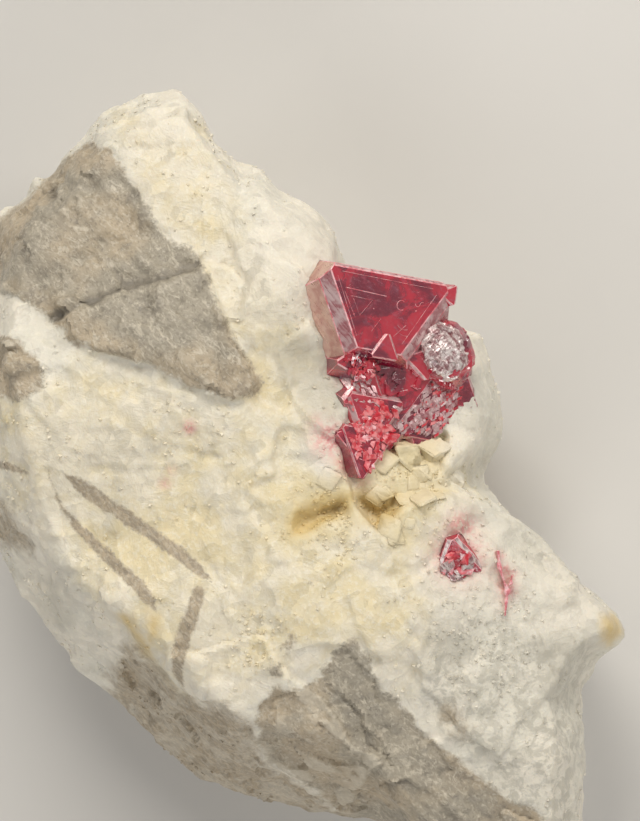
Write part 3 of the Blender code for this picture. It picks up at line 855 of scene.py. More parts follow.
# %% Crystal helper
GROUP_CENTRE = (8.1, 15.9, 28.3)
GROUP_NORMAL = (0.42, -0.02, 0.907)
GROUP_EDGE = (0.989, -0.150, 0.0)
SHALLOW_FORM = 46.6
STEEP_FORM = 69.3
UPPER_FORM = 87.0
CORNER_FORM = 90.0
CORNER_CUT = 1.88
# Finishes of a plate's faces, by their material slots. Slot 0, which the other faces keep, is the clear one;
# slots 2 and 3 take painted reflections, a mauve sheen and a warm one.
BRUISED, PAINTED_MAUVE_SLOT, PAINTED_WARM_SLOT = 1, 2, 3


def cut_by(bm, normal, distance):
    """Cuts away what lies past a plane and closes the cut."""
    geometry = bm.verts[:] + bm.edges[:] + bm.faces[:]
    cut = bmesh.ops.bisect_plane(
        bm, geom=geometry, dist=1e-6, plane_co=normal * distance, plane_no=normal, clear_outer=True
    )
    edges = [e for e in cut["geom_cut"] if isinstance(e, bmesh.types.BMEdge)]
    if edges:
        bmesh.ops.contextual_create(bm, geom=edges)


def form_normal(azimuth, slope):
    a, s = math.radians(azimuth), math.radians(slope)
    return Vector((math.sin(s) * math.cos(a), math.sin(s) * math.sin(a), math.cos(s)))


def plate_shape(inner_radius, thickness, bevels, grow=0.0, right_strip=0.0):
    """A trigonal plate with its triangle face at z = 0 and its edges facing up, lower left, lower right."""
    bm = bmesh.new()
    bmesh.ops.create_cube(bm, size=80.0)
    cut_by(bm, Vector((0, 0, 1)), grow)
    cut_by(bm, Vector((0, 0, -1)), thickness + grow)
    for azimuth, depth in zip((90, 210, 330), bevels):
        outward = Vector((math.cos(math.radians(azimuth)), math.sin(math.radians(azimuth)), 0))
        edge = outward * (inner_radius + (right_strip if azimuth == 330 else 0.0))
        shallow = form_normal(azimuth, SHALLOW_FORM)
        cut_by(bm, shallow, edge.dot(shallow) + grow)
        lower = edge + outward * depth / math.tan(math.radians(SHALLOW_FORM)) - Vector((0, 0, depth))
        steep = form_normal(azimuth, UPPER_FORM if azimuth == 90 else STEEP_FORM)
        cut_by(bm, steep, lower.dot(steep) + grow)
    for azimuth in (30, 150, 270):
        cut_by(bm, form_normal(azimuth, CORNER_FORM), inner_radius * CORNER_CUT + grow)
    return bm


def finish_faces(bm, painted_reflection_flank=False):
    """The shallow forms get the painted mauve sheen, and the large plate's left flank the painted warm
    reflection.
    """
    bmesh.ops.recalc_face_normals(bm, faces=bm.faces)
    for face in bm.faces:
        slope = math.degrees(math.acos(max(-1.0, min(1.0, face.normal.z))))
        if 20 < slope < SHALLOW_FORM + 4:
            face.material_index = PAINTED_MAUVE_SLOT
        elif painted_reflection_flank and slope > STEEP_FORM - 4 and face.normal.x < -0.3:
            face.material_index = PAINTED_WARM_SLOT


def group_axes():
    """The turn from the crystal group's own axes to the frame's."""
    w = Vector(GROUP_NORMAL).normalized()
    u = Vector(GROUP_EDGE)
    u = (u - w * u.dot(w)).normalized()
    v = w.cross(u)
    return Matrix((u, v, w)).transposed().to_4x4()


GROUP_PLACE = Matrix.Translation(GROUP_CENTRE) @ group_axes()


def break_edges(bm, width):
    """Breaks every sharp edge by a narrow flat, which takes the bruised finish."""
    sharp = [e for e in bm.edges if len(e.link_faces) == 2 and e.calc_face_angle() > math.radians(12)]
    bmesh.ops.bevel(
        bm,
        geom=sharp,
        offset=width,
        offset_type="OFFSET",
        segments=1,
        profile=0.5,
        affect="EDGES",
        clamp_overlap=True,
        material=BRUISED,
    )


# %% [markdown]
# ## The cinnabar finishes
# Cinnabar has one of the highest refractive indices of any mineral, near 2.9, so even a clean face shines
# like a diamond's, and the light that goes in comes back wine red. The clear finish is see-through:
# transmission, a plain index of refraction and a plain red absorption inside, with lilac veils that are a
# painted reflection haze. Bruised edges scatter light and look pinkish. The mauve sheen on steps and low
# faces, the warm sheen on the large plate's left flank and the silver of striated faces are painted
# reflections: colour that stands for what those faces mirror.

# %% Cinnabar
CINNABAR_IOR = 2.7


def absorbing(tree, density):
    inside = add(tree, "ShaderNodeVolumeAbsorption", {"Color": (0.85, 0.05, 0.10, 1.0), "Density": density})
    tree.links.new(inside.outputs["Volume"], tree.nodes["Material Output"].inputs["Volume"])


def clear_cinnabar():
    material, tree, shader = new_finish("cinnabar")
    place = object_place(tree)
    clouds = noise(tree, place, 3.0, 3.0, 0.6, 0.8)
    flecks = noise(tree, place, 0.45, 5.0, 0.65, 1.2)
    # Lilac veils over the red are a painted reflection haze.
    painted_haze = noise(tree, turned_place(tree, place, math.radians(35), (0.35, 1.0, 1.0)), 0.5, 4.0, 0.6, 1.0)
    cloudy = ramp_between(tree, clouds, 0.40, 0.60)
    deep = mix_colour(tree, cloudy, (0.25, 0.004, 0.038), (0.74, 0.016, 0.055))
    deep = mix_colour(tree, ramp_between(tree, flecks, 0.54, 0.70, 0.0, 0.55), deep, (0.62, 0.08, 0.15))
    colour = mix_colour(tree, ramp_between(tree, painted_haze, 0.56, 0.72, 0.0, 0.45), deep, (0.48, 0.20, 0.29))
    tree.links.new(colour, shader.inputs["Base Color"])
    tree.links.new(ramp_between(tree, flecks, 0.35, 0.75, 0.05, 0.20), shader.inputs["Roughness"])
    shader.inputs["IOR"].default_value = CINNABAR_IOR
    shader.inputs["Transmission Weight"].default_value = 0.35
    relief = add(tree, "ShaderNodeBump", {"Strength": 0.35, "Distance": 0.00006, "Height": flecks})
    tree.links.new(relief.outputs["Normal"], shader.inputs["Normal"])
    absorbing(tree, 380.0)
    return material


def painted_sheen_finish(name, dark, pale, lines):
    """A polished face with a painted reflection of its surroundings over the red, with fine growth lines."""
    material, tree, shader = new_finish(name)
    place = object_place(tree)
    patches = noise(tree, place, 1.1, 4.0, 0.6, 0.6)
    streaks = noise(tree, turned_place(tree, place, math.radians(52), (0.18, 1.0, 1.0)), 0.26, 3.0, 0.6, 0.6)
    share = add_share(tree, math_node(tree, "SUBTRACT", streaks, 0.5), lines, patches)
    colour = mix_colour(tree, ramp_between(tree, share, 0.36, 0.62), dark, pale)
    tree.links.new(colour, shader.inputs["Base Color"])
    shader.inputs["Metallic"].default_value = 0.25
    tree.links.new(ramp_between(tree, streaks, 0.3, 0.7, 0.26, 0.42), shader.inputs["Roughness"])
    shader.inputs["IOR"].default_value = CINNABAR_IOR
    relief = add(tree, "ShaderNodeBump", {"Strength": 0.6, "Distance": 0.0001, "Height": streaks})
    tree.links.new(relief.outputs["Normal"], shader.inputs["Normal"])
    return material


def bruised_finish(name, red, pale):
    material, tree, shader = new_finish(name)
    patches = noise(tree, object_place(tree), 0.7, 4.0, 0.6)
    colour = mix_colour(tree, ramp_between(tree, patches, 0.40, 0.62), red, pale)
    tree.links.new(colour, shader.inputs["Base Color"])
    shader.inputs["Roughness"].default_value = 0.32
    shader.inputs["Subsurface Weight"].default_value = 0.3
    shader.inputs["Subsurface Radius"].default_value = (0.0006, 0.0001, 0.0001)
    return material


CINNABAR = clear_cinnabar()
EDGE = bruised_finish("bruised_edge", (0.66, 0.16, 0.19), (0.84, 0.52, 0.54))
RED_BRUISE = bruised_finish("bruised_red", (0.58, 0.03, 0.05), (0.74, 0.26, 0.27))
# The mauve, warm and silver finishes paint reflections into their colour.
PAINTED_MAUVE_SHEEN = painted_sheen_finish("cinnabar_mauve_sheen", (0.38, 0.10, 0.12), (0.60, 0.41, 0.41), 0.5)
PAINTED_WARM_REFLECTION = painted_sheen_finish("cinnabar_warm_sheen", (0.50, 0.22, 0.18), (0.64, 0.40, 0.32), 0.1)
PAINTED_SILVER_SHEEN = painted_sheen_finish("cinnabar_silver", (0.26, 0.09, 0.10), (0.72, 0.63, 0.61), 0.9)

# %% [markdown]
# ## The crystal group
# The large triangular plate, its twin's corner in front of it and the stepped plates below are cut at the
# crystal's angles, their edges are narrowly broken, and a Boolean union makes one body of them, as they grew.

# %% Plates of the group
# u, v and w of the middle, inner radius, thickness, turn, and the shallow form's depth on three edges
PLATES = {
    "main": (0.08, 0.0, 0.0, 3.35, 5.0, 0, 0.25, 0.95, 2.5),
    "twin_corner": (0.57, -2.95, 0.26, 0.72, 3.0, 180, 0.12, 0.26, 0.09),
    "twin_body": (1.9, -4.9, -1.4, 2.1, 4.2, 180, 0.4, 0.6, 0.8),
    "core": (3.0, -5.0, -1.7, 3.3, 4.0, 0, 0.4, 0.5, 0.8),
    "core_step": (3.6, -5.3, -1.35, 1.7, 3.0, 0, 0.2, 0.3, 0.4),
    "right_step_1": (6.7, -6.5, -1.6, 1.6, 3.2, 180, 0.3, 0.4, 0.6),
    "right_step_2": (6.0, -8.0, -1.8, 1.6, 3.0, 0, 0.3, 0.4, 0.5),
    "right_step_3": (4.2, -8.0, -1.7, 1.7, 3.2, 180, 0.3, 0.4, 0.5),
    "right_edge": (7.9, -4.7, -1.5, 1.7, 3.4, 180, 0.3, 0.4, 0.5),
    "corner_block": (5.95, 2.65, -0.1, 0.5, 2.2, 30, 0.15, 0.15, 0.15),
    "dome_facet": (4.7, -3.3, -0.75, 0.85, 2.6, 25, 0.2, 0.2, 0.2),
    "left_lump": (-1.4, -4.3, -0.9, 0.95, 2.2, 40, 0.12, 0.12, 0.12),
    "left_step": (0.1, -6.7, -1.2, 1.2, 2.6, 180, 0.3, 0.4, 0.3),
    "waist": (1.0, -8.5, -0.95, 1.5, 3.2, 0, 0.4, 0.4, 0.4),
    "lower_left": (-0.3, -10.8, -1.15, 0.95, 2.4, 20, 0.05, 0.05, 0.05),
    "lower_tip": (0.7, -11.2, -0.9, 1.45, 2.8, 0, 0.15, 0.12, 0.15),
}
MAIN_EDGE_FLAT, EDGE_FLAT = 0.07, 0.03
# Azimuth, slope and place of more planes on the large plate: its cut tip, left flank and right-hand strip
MAIN_CUTS = [(270, 52, 3.15), (216, 85, 4.95), (330, 28, 3.35)]
STRIP_WIDTH = 0.5


def plate_at(name, spec, grow=0.0, dressed=True):
    u, v, w, inner_radius, thickness, turn, *bevels = spec
    is_main = name == "main"
    bm = plate_shape(inner_radius, thickness, bevels, grow, STRIP_WIDTH if is_main else 0.0)
    for azimuth, slope, place in MAIN_CUTS if is_main else []:
        normal = form_normal(azimuth, slope)
        cut_by(bm, normal, place * math.sin(math.radians(slope)) + grow)
    if dressed:
        finish_faces(bm, is_main)
        break_edges(bm, MAIN_EDGE_FLAT if is_main else EDGE_FLAT)
    inside = Matrix.Translation((u, v, w)) @ Matrix.Rotation(math.radians(turn), 4, "Z")
    bm.transform(GROUP_PLACE @ inside)
    bmesh.ops.recalc_face_normals(bm, faces=bm.faces)
    plate = to_object(bm, f"plate_{name}")
    for material in (CINNABAR, EDGE, PAINTED_MAUVE_SHEEN, PAINTED_WARM_REFLECTION):
        plate.data.materials.append(material)
    return plate


def joined(first, others, operation="UNION", solver="EXACT"):
    """One body from several, by a Boolean. The others are used up."""
    cutters = bpy.data.collections.new("cutters")
    bpy.context.scene.collection.children.link(cutters)
    for other in others:
        bpy.context.scene.collection.objects.unlink(other)
        cutters.objects.link(other)
    step = first.modifiers.new("join", "BOOLEAN")
    step.operation = operation
    step.solver = solver
    step.operand_type = "COLLECTION"
    step.collection = cutters
    baked(first)
    for other in others:
        bpy.data.objects.remove(other, do_unlink=True)
    bpy.data.collections.remove(cutters)
    return first


group_plates = [plate_at(name, spec) for name, spec in PLATES.items()]
group = joined(group_plates[0], group_plates[1:])
group.name = "cinnabar_crystals"
print("crystal group:", triangles(group), "triangles,", round(time.time() - START, 1), "s")

# %% [markdown]
# ## Growth lines on the large face
# The face isn't blank: fine straight ribs run parallel to its edges, with a few hooked etch marks between
# them. Each rib has a roof-shaped cross section and stands a few hundredths of a millimetre proud.

# %% Growth lines
def arc(u, v, radius, start, end, count=9):
    angles = np.radians(np.linspace(start, end, count))
    return [(u + radius * math.cos(a), v + radius * math.sin(a)) for a in angles]


# Width and points, in the group's own axes
GROWTH_LINES = [
    (0.10, [(-3.8, 1.66), (0.0, 1.52)]),
    (0.06, [(-3.9, 1.35), (-2.6, -0.7)]),
    (0.06, [(-4.75, 2.55), (-2.2, -2.2)]),
    (0.05, [(-3.3, 1.05), (-1.2, 0.98)]),
    (0.05, [(-3.0, 0.85), (-2.2, -0.45), (-1.3, 0.9)]),
    (0.05, [(4.6, 2.4), (2.1, -2.2)]),
    (0.05, [(-4.4, 2.95), (4.2, 2.86)]),
    (0.05, [(2.2, -0.6), (1.2, -1.7)]),
    (0.04, [(-0.2, -0.4), (-0.9, -1.6)]),
    (0.09, arc(1.5, 1.0, 0.42, 60, 300)),
    (0.06, arc(3.0, 1.35, 0.22, 180, 360)),
    (0.06, arc(3.42, 1.35, 0.20, 180, 60)),
    (0.04, arc(2.1, -0.1, 0.9, 220, 290)),
    (0.04, arc(2.3, -0.3, 1.2, 225, 280)),
    (0.10, arc(-2.75, -0.45, 0.06, 0, 270, 4)),
    (0.10, arc(2.95, 0.75, 0.06, 0, 270, 4)),
    (0.08, arc(-1.0, 0.3, 0.05, 0, 270, 4)),
]
RIB_HEIGHT = 0.035


def growth_ribs():
    bm = bmesh.new()
    for width, line in GROWTH_LINES:
        line = [Vector((u, v, 0)) for u, v in line]
        rows = []
        for i, point in enumerate(line):
            run = (line[min(i + 1, len(line) - 1)] - line[max(i - 1, 0)]).normalized()
            side = Vector((-run.y, run.x, 0)) * width / 2
            low = Vector((0, 0, -0.02))
            section = (point - side + low, point + side + low, point + Vector((0, 0, RIB_HEIGHT)))
            rows.append([bm.verts.new(place) for place in section])
        for a, b in zip(rows[:-1], rows[1:]):
            for i in range(3):
                bm.faces.new((a[i], a[(i + 1) % 3], b[(i + 1) % 3], b[i]))
        bm.faces.new(rows[0])
        bm.faces.new(rows[-1])
    bm.transform(GROUP_PLACE)
    bmesh.ops.recalc_face_normals(bm, faces=bm.faces)
    return to_object(bm, "cinnabar_growth_lines", EDGE)


ribs = growth_ribs()

# %% [markdown]
# ## A tree that scatters small shapes
# Three things repeat on the specimen: the small steps on the crystals, and the soft blocks and the sugar
# grains on the rock. One node tree makes them all: points on a surface, one shape on each, with a random
# size and lean, made real.

# %% Scatter tree
def scatter_tree():
    tree = bpy.data.node_groups.new("scatter shapes", "GeometryNodeTree")
    face = tree.interface
    face.new_socket("Geometry", in_out="INPUT", socket_type="NodeSocketGeometry")
    face.new_socket("Shape", in_out="INPUT", socket_type="NodeSocketObject")
    for name in ("Density", "Smallest", "Largest"):
        face.new_socket(name, in_out="INPUT", socket_type="NodeSocketFloat")
    for name in ("Lean Least", "Lean Most"):
        face.new_socket(name, in_out="INPUT", socket_type="NodeSocketVector")
    face.new_socket("Seed", in_out="INPUT", socket_type="NodeSocketInt")
    face.new_socket("Finish", in_out="INPUT", socket_type="NodeSocketMaterial")
    face.new_socket("Geometry", in_out="OUTPUT", socket_type="NodeSocketGeometry")
    given = tree.nodes.new("NodeGroupInput").outputs
    density = times(tree, given["Density"], named_number(tree, "scatter_share"))
    points = add(
        tree,
        "GeometryNodeDistributePointsOnFaces",
        {"Mesh": given["Geometry"], "Density": density, "Seed": given["Seed"]},
    )
    shape = add(tree, "GeometryNodeObjectInfo", {"Object": given["Shape"]})
    turn = add(
        tree,
        "FunctionNodeRandomValue",
        {0: given["Lean Least"], 1: given["Lean Most"], "Seed": given["Seed"]},
        data_type="FLOAT_VECTOR",
    )
    size = add(
        tree,
        "FunctionNodeRandomValue",
        {2: given["Smallest"], 3: given["Largest"], "Seed": given["Seed"]},
        data_type="FLOAT",
    )
    lean = add(
        tree,
        "FunctionNodeRotateRotation",
        {"Rotation": points.outputs["Rotation"], "Rotate By": turn.outputs["Value"]},
        rotation_space="LOCAL",
    )
    placed = add(
        tree,
        "GeometryNodeInstanceOnPoints",
        {
            "Points": points.outputs["Points"],
            "Instance": shape.outputs["Geometry"],
            "Rotation": lean.outputs["Rotation"],
            "Scale": size.outputs[1],
        },
    )
    real = add(tree, "GeometryNodeRealizeInstances", {"Geometry": placed.outputs["Instances"]})
    dressed = add(
        tree, "GeometryNodeSetMaterial", {"Geometry": real.outputs["Geometry"], "Material": given["Finish"]}
    )
    result = tree.nodes.new("NodeGroupOutput")
    tree.links.new(dressed.outputs["Geometry"], result.inputs["Geometry"])
    return tree


SCATTER = scatter_tree()


def scattered(name, surface, shape, density, sizes, lean, seed, finish):
    """Shapes on a surface: density for each square millimetre, smallest and largest size, most lean."""
    made = bpy.data.objects.new(name, surface.data.copy())
    bpy.context.scene.collection.objects.link(made)
    values = {
        "Shape": shape,
        "Density": density / MM**2,
        "Smallest": sizes[0],
        "Largest": sizes[1],
        "Lean Least": tuple(-angle for angle in lean),
        "Lean Most": tuple(lean),
        "Seed": seed,
        "Finish": finish,
    }
    give_nodes(made, SCATTER, values)
    return baked(made)


# %% [markdown]
# ## Steps on the crystals
# Below the large face the crystals end in many small steps, like leaning bricks laid in rows that climb to
# the right. A guide sheet lies where they are, and the scatter tree sets one brick on each point.

# %% Steps
BRICK = (1.0, 0.52, 0.40)
BRICK_TURN = 38
# Outline in the group's axes, height and its slopes, density, sizes, lean, seed and finish
RIGHT_ZONE = [
    (4.9, -4.6), (8.5, -4.0), (9.1, -5.4), (8.6, -7.2), (7.3, -9.3), (5.3, -9.3), (3.0, -9.8), (2.7, -8.2),
              (3.6, -6.6)]
LEFT_ZONE = [(-1.7, -5.4), (-0.2, -5.0), (0.9, -6.4), (1.9, -8.2), (0.9, -9.0), (-0.3, -7.6)]
LUMP_ZONE = [(-2.7, -3.9), (-0.9, -3.3), (0.6, -4.4), (0.0, -5.6), (-2.0, -5.4)]
TIP_ZONE = [(0.0, -8.2), (2.0, -8.2), (3.0, -10.0), (1.5, -13.3), (0.1, -12.2), (-1.3, -10.7)]
CORE_ZONE = [(0.6, -4.0), (4.8, -3.3), (4.8, -5.6), (2.6, -8.0), (1.4, -6.4)]
CORNER_ZONE = [(5.4, 1.6), (6.3, 2.0), (6.6, 0.4), (6.2, -0.6), (5.3, 0.0)]
WAIST_ZONE = [(-1.5, -7.3), (3.3, -7.2), (2.6, -9.0), (1.0, -11.2), (-0.6, -9.2)]
# Many steps take the mauve finish, a painted reflection over the red.
STEP_FIELDS = [
    (WAIST_ZONE, (-0.94, 0.03, 0.0), 4.0, (0.35, 0.95), (0.25, 0.25, 1.0), 31, RED_BRUISE),
    (WAIST_ZONE, (-0.94, 0.03, 0.0), 3.0, (0.30, 0.70), (0.35, 0.35, 1.0), 32, PAINTED_MAUVE_SHEEN),
    (RIGHT_ZONE, (-1.56, 0.0, 0.02), 11.0, (0.35, 0.80), (0.14, 0.14, 0.12), 3, PAINTED_MAUVE_SHEEN),
    (RIGHT_ZONE, (-1.58, 0.0, 0.02), 4.0, (0.35, 0.80), (0.14, 0.14, 0.15), 11, CINNABAR),
    (RIGHT_ZONE, (-1.52, 0.0, 0.02), 4.0, (0.30, 0.55), (0.15, 0.15, 0.3), 21, RED_BRUISE),
    (LEFT_ZONE, (-0.92, 0.05, 0.0), 11.0, (0.30, 0.75), (0.35, 0.35, 0.5), 5, PAINTED_MAUVE_SHEEN),
    (LEFT_ZONE, (-1.00, 0.05, 0.0), 3.0, (0.35, 0.80), (0.40, 0.40, 0.5), 22, CINNABAR),
    (LUMP_ZONE, (-0.75, 0.0, 0.0), 11.0, (0.35, 0.85), (0.5, 0.5, 1.5), 6, CINNABAR),
    (LUMP_ZONE, (-0.75, 0.0, 0.0), 5.0, (0.30, 0.65), (0.5, 0.5, 1.5), 23, RED_BRUISE),
    (TIP_ZONE, (-0.88, 0.03, 0.0), 4.5, (0.40, 1.05), (0.4, 0.4, 1.4), 8, RED_BRUISE),
    (TIP_ZONE, (-0.88, 0.03, 0.0), 3.5, (0.35, 0.80), (0.3, 0.3, 1.0), 9, EDGE),
    (CORE_ZONE, (-1.34, 0.0, 0.0), 2.0, (0.45, 1.1), (0.10, 0.10, 1.2), 10, CINNABAR),
    (CORNER_ZONE, (-0.9, -0.5, 0.0), 6.0, (0.35, 0.7), (0.5, 0.5, 1.5), 12, CINNABAR),
]


def leaning_brick():
    """A block with a 60 degree plan, longer than wide and slightly smaller on top."""
    length, width, height = BRICK
    bm = bmesh.new()
    bmesh.ops.create_cube(bm, size=1.0)
    for vert in bm.verts:
        x, y, z = vert.co
        narrow = 0.84 if z > 0 else 1.0
        vert.co = ((x * length + y * width * 0.577) * narrow, y * width * narrow, z * height)
    bm.transform(Matrix.Rotation(math.radians(BRICK_TURN), 4, "Z"))
    return to_object(bm, "leaning_brick")


def guide_sheet(outline, plane):
    bm = bmesh.new()
    height, slope_u, slope_v = plane
    corners = [bm.verts.new((u, v, height + slope_u * (u - 5) + slope_v * (v + 7))) for u, v in outline]
    face = bm.faces.new(corners)
    if face.normal.z < 0:
        face.normal_flip()
    face.normal_update()
    if face.normal.z < 0:
        face.normal_flip()
    sheet = to_object(bm, "guide_sheet")
    store_number(sheet.data, "scatter_share", np.ones(len(outline)))
    return sheet


def merged(parts, name):
    """Several plain objects as one piece. A part without a finish keeps the ones it has."""
    whole, finishes = bmesh.new(), []
    for part, material in parts:
        worn = [material] if material else list(part.data.materials)
        first = len(whole.faces)
        whole.from_mesh(part.data)
        whole.faces.ensure_lookup_table()
        finishes += [each for each in worn if each not in finishes]
        for face in whole.faces[first:]:
            face.material_index = finishes.index(worn[0 if material else face.material_index])
        bpy.data.objects.remove(part, do_unlink=True)
    mesh = bpy.data.meshes.new(name)
    whole.to_mesh(mesh)
    whole.free()
    for material in finishes:
        mesh.materials.append(material)
    obj = bpy.data.objects.new(name, mesh)
    bpy.context.scene.collection.objects.link(obj)
    return obj


IN_METRES = Matrix.Scale(MM, 4) @ GROUP_PLACE @ Matrix.Scale(1 / MM, 4)


def crystal_steps():
    brick, made = leaning_brick(), []
    for number, (outline, plane, density, sizes, lean, seed, finish) in enumerate(STEP_FIELDS):
        sheet = guide_sheet(outline, plane)
        field = scattered(f"steps_{number}", sheet, brick, density, sizes, lean, seed, finish)
        field.data.transform(IN_METRES)
        made.append((field, finish))
        bpy.data.objects.remove(sheet, do_unlink=True)
    bpy.data.objects.remove(brick, do_unlink=True)
    return merged(made, "cinnabar_steps")


steps = crystal_steps()
print("steps:", triangles(steps), "triangles")

# %% [markdown]
# ## The striated dome
# At the right of the group one crystal is not a plate but a low dome, covered with fine parallel striations,
# and a rounded red lip holds it. Its silver is a painted reflection. A ball is drawn out to its three half
# lengths, then sharp irregular ridges are raised along one direction.

# %% Dome
DOME_PLACE = (13.3, 12.7, 24.9)
DOME_RADII = (2.2, 2.7, 1.7)
DOME_TURN = (4, 18, 24)
STRIATED_DOME_SHARE = (0.92, 0.95, 1.0)
STRIATED_DOME_SHIFT = Vector((-0.22, 0.12, 0.10))
RIDGE_LEAN = math.radians(-42)
RIDGES = [(0.62, 0.13, 90), (0.27, 0.07, 91)]
LIP_SHIFT = Vector((0.16, -0.20, -0.72))
LIP_GROWTH = (0.30, 0.25, 0.20)


def ball_at(place, radii, subdivisions):
    bm = bmesh.new()
    bmesh.ops.create_icosphere(bm, subdivisions=subdivisions, radius=1.0)
    turn = Euler([math.radians(a) for a in DOME_TURN]).to_matrix().to_4x4()
    bm.transform(Matrix.Translation(place) @ turn @ Matrix.Diagonal((*radii, 1.0)))
    return bm


def striated_dome():
    radii = [radius * share for radius, share in zip(DOME_RADII, STRIATED_DOME_SHARE)]
    dome = to_object(ball_at(Vector(DOME_PLACE) + STRIATED_DOME_SHIFT, radii, 6), "cinnabar_dome", PAINTED_SILVER_SHEEN)
    points, normals = places_of(dome.data), normals_of(dome.data)
    across = points[:, 0] * math.cos(RIDGE_LEAN) + points[:, 1] * math.sin(RIDGE_LEAN)
    rise = 0.16 * lumps(points, 1.5, 93) + chips(points, 1.3, 0.22, 94)
    for step, height, seed in RIDGES:
        phase = (across + 0.5 * lumps(points, 1.7, seed) + 0.12 * lumps(points, 0.5, seed + 5)) / step
        saw = phase - np.floor(phase)
        strength = np.clip(0.7 + 0.6 * lumps(points, 1.0, seed + 9), 0, 1)
        rise += height * strength * (np.minimum(saw / 0.75, (1 - saw) / 0.25) - 0.6)
    move_to(dome.data, points + normals * rise[:, None])
    dome.data.shade_smooth()
    dome.data.set_sharp_from_angle(angle=math.radians(24))
    return dome


def red_lip():
    radii = [r + more for r, more in zip(DOME_RADII, LIP_GROWTH)]
    lip = to_object(ball_at(Vector(DOME_PLACE) + LIP_SHIFT, radii, 5), "cinnabar_lip", CINNABAR)
    points, normals = places_of(lip.data), normals_of(lip.data)
    rise = 0.25 * lumps(points, 1.4, 103) + chips(points, 0.9, 0.25, 104)
    move_to(lip.data, points + normals * rise[:, None])
    lip.data.shade_smooth()
    lip.data.set_sharp_from_angle(angle=math.radians(24))
    return lip


dome, lip = striated_dome(), red_lip()
print("dome:", triangles(dome), "and lip:", triangles(lip), "triangles")

# %% [markdown]
# ## The small crystal and the blade
# The small crystal sits in its own recess, with bright reflecting steps around its left and lower side; their
# silver is a painted reflection. The blade is a thin seam of cinnabar that fills a crack, wider in some
# places than in others.

# %% Small crystal and blade
SMALL_CRYSTAL = (14.3, -5.2, 26.6, 1.2, 2.6)
SMALL_TILT = (18, -14, 70)
SMALL_BEVELS = (0.3, 0.35, 0.4)
# u, v and w, share of the size, and turn
SMALL_STEPS = [
    (0.0, 0.0, 0.0, 1.0, 0), (0.35, 0.3, 0.05, 0.42, 180), (-0.5, 0.1, 0.0, 0.5, 180),
    (0.1, -0.6, 0.0, 0.45, 60),
]
# Rings of steps: radius, first and last angle, their number, and the finishes they take in turn
SMALL_RINGS = [
    (1.15, 110, 350, 16, (PAINTED_SILVER_SHEEN, EDGE, PAINTED_SILVER_SHEEN, CINNABAR)),
    (0.70, 120, 330, 9, (PAINTED_SILVER_SHEEN, EDGE, RED_BRUISE)),
    (0.85, -30, 100, 8, (RED_BRUISE, CINNABAR)),
]
# Places and half widths of the seam and of its fork
BLADE_LINES = [
    [(17.8, -4.1, 0.10), (17.9, -5.4, 0.17), (18.3, -6.7, 0.08),
     (18.6, -7.4, 0.20), (18.5, -8.4, 0.12), (18.4, -9.6, 0.06)],
    [(18.5, -7.3, 0.08), (18.9, -6.9, 0.12), (19.0, -6.2, 0.04)],
]
BLADE_TOP = 26.0
BLADE_DEPTH = 2.6
SMALL_TURN = Euler([math.radians(angle) for angle in SMALL_TILT]).to_matrix().to_4x4()
SMALL_PLACE = Matrix.Translation(SMALL_CRYSTAL[:3]) @ SMALL_TURN


def small_crystal():
    inner_radius, thickness = SMALL_CRYSTAL[3:]
    made = []
    for number, (u, v, w, share, angle) in enumerate(SMALL_STEPS):
        bm = plate_shape(inner_radius * share, thickness * share, [d * share for d in SMALL_BEVELS])
        finish_faces(bm)
        break_edges(bm, 0.04)
        inside = Matrix.Translation((u, v, w)) @ Matrix.Rotation(math.radians(angle), 4, "Z")
        bm.transform(SMALL_PLACE @ inside)
        bmesh.ops.recalc_face_normals(bm, faces=bm.faces)
        piece = to_object(bm, f"small_{number}")
        for material in (CINNABAR, EDGE, PAINTED_SILVER_SHEEN, EDGE):
            piece.data.materials.append(material)
        made.append(piece)
    whole = joined(made[0], made[1:])
    steps = [(whole, None)]
    for radius, first, last, count, finishes in SMALL_RINGS:
        for number, angle in enumerate(np.radians(np.linspace(first, last, count))):
            step = leaning_brick()
            lean = (0.5 * math.sin(3.1 * number), 0.5 * math.cos(2.3 * number), angle)
            tip = Euler(lean).to_matrix().to_4x4()
            place = Vector((radius * math.cos(angle), radius * math.sin(angle), 0.24 - 0.12 * (number % 3)))
            size = Matrix.Scale(1.0 - 0.14 * (number % 4), 4)
            in_place = SMALL_PLACE @ Matrix.Translation(place) @ tip @ size
            step.data.transform(Matrix.Scale(MM, 4) @ in_place @ Matrix.Scale(1 / MM, 4))
            steps.append((step, finishes[number % len(finishes)]))
    return merged(steps, "cinnabar_small")


def blade_seam(bm, line):
    """The seam: many cross sections along the line, each with its own width and top."""
    line, rows = np.array(line), []
    for t in np.linspace(0, len(line) - 1, 60):
        x, y, half = (np.interp(t, range(len(line)), line[:, i]) for i in range(3))
        wobble = lumps(np.array([[x, y, t]]), 0.5, 95)[0]
        half = max(half * (1 + 0.5 * wobble), 0.04)
        top = BLADE_TOP - 0.15 + 0.12 * wobble
        low = BLADE_TOP - BLADE_DEPTH
        section = [
            (x - half, y, low), (x - half, y, top - 0.12), (x, y, top),
            (x + half, y, top - 0.1), (x + half, y, low)
        ]
        rows.append([bm.verts.new(place) for place in section])
    for a, b in zip(rows[:-1], rows[1:]):
        for i in range(5):
            bm.faces.new((a[i], a[(i + 1) % 5], b[(i + 1) % 5], b[i]))
    bm.faces.new(rows[0])
    bm.faces.new(rows[-1])


def whole_seam():
    bm = bmesh.new()
    for line in BLADE_LINES:
        blade_seam(bm, line)
    bmesh.ops.recalc_face_normals(bm, faces=bm.faces)
    return to_object(bm, "cinnabar_seam", EDGE, 30)


small, seam = small_crystal(), whole_seam()
print("small crystal:", triangles(small), "and seam:", triangles(seam), "triangles")

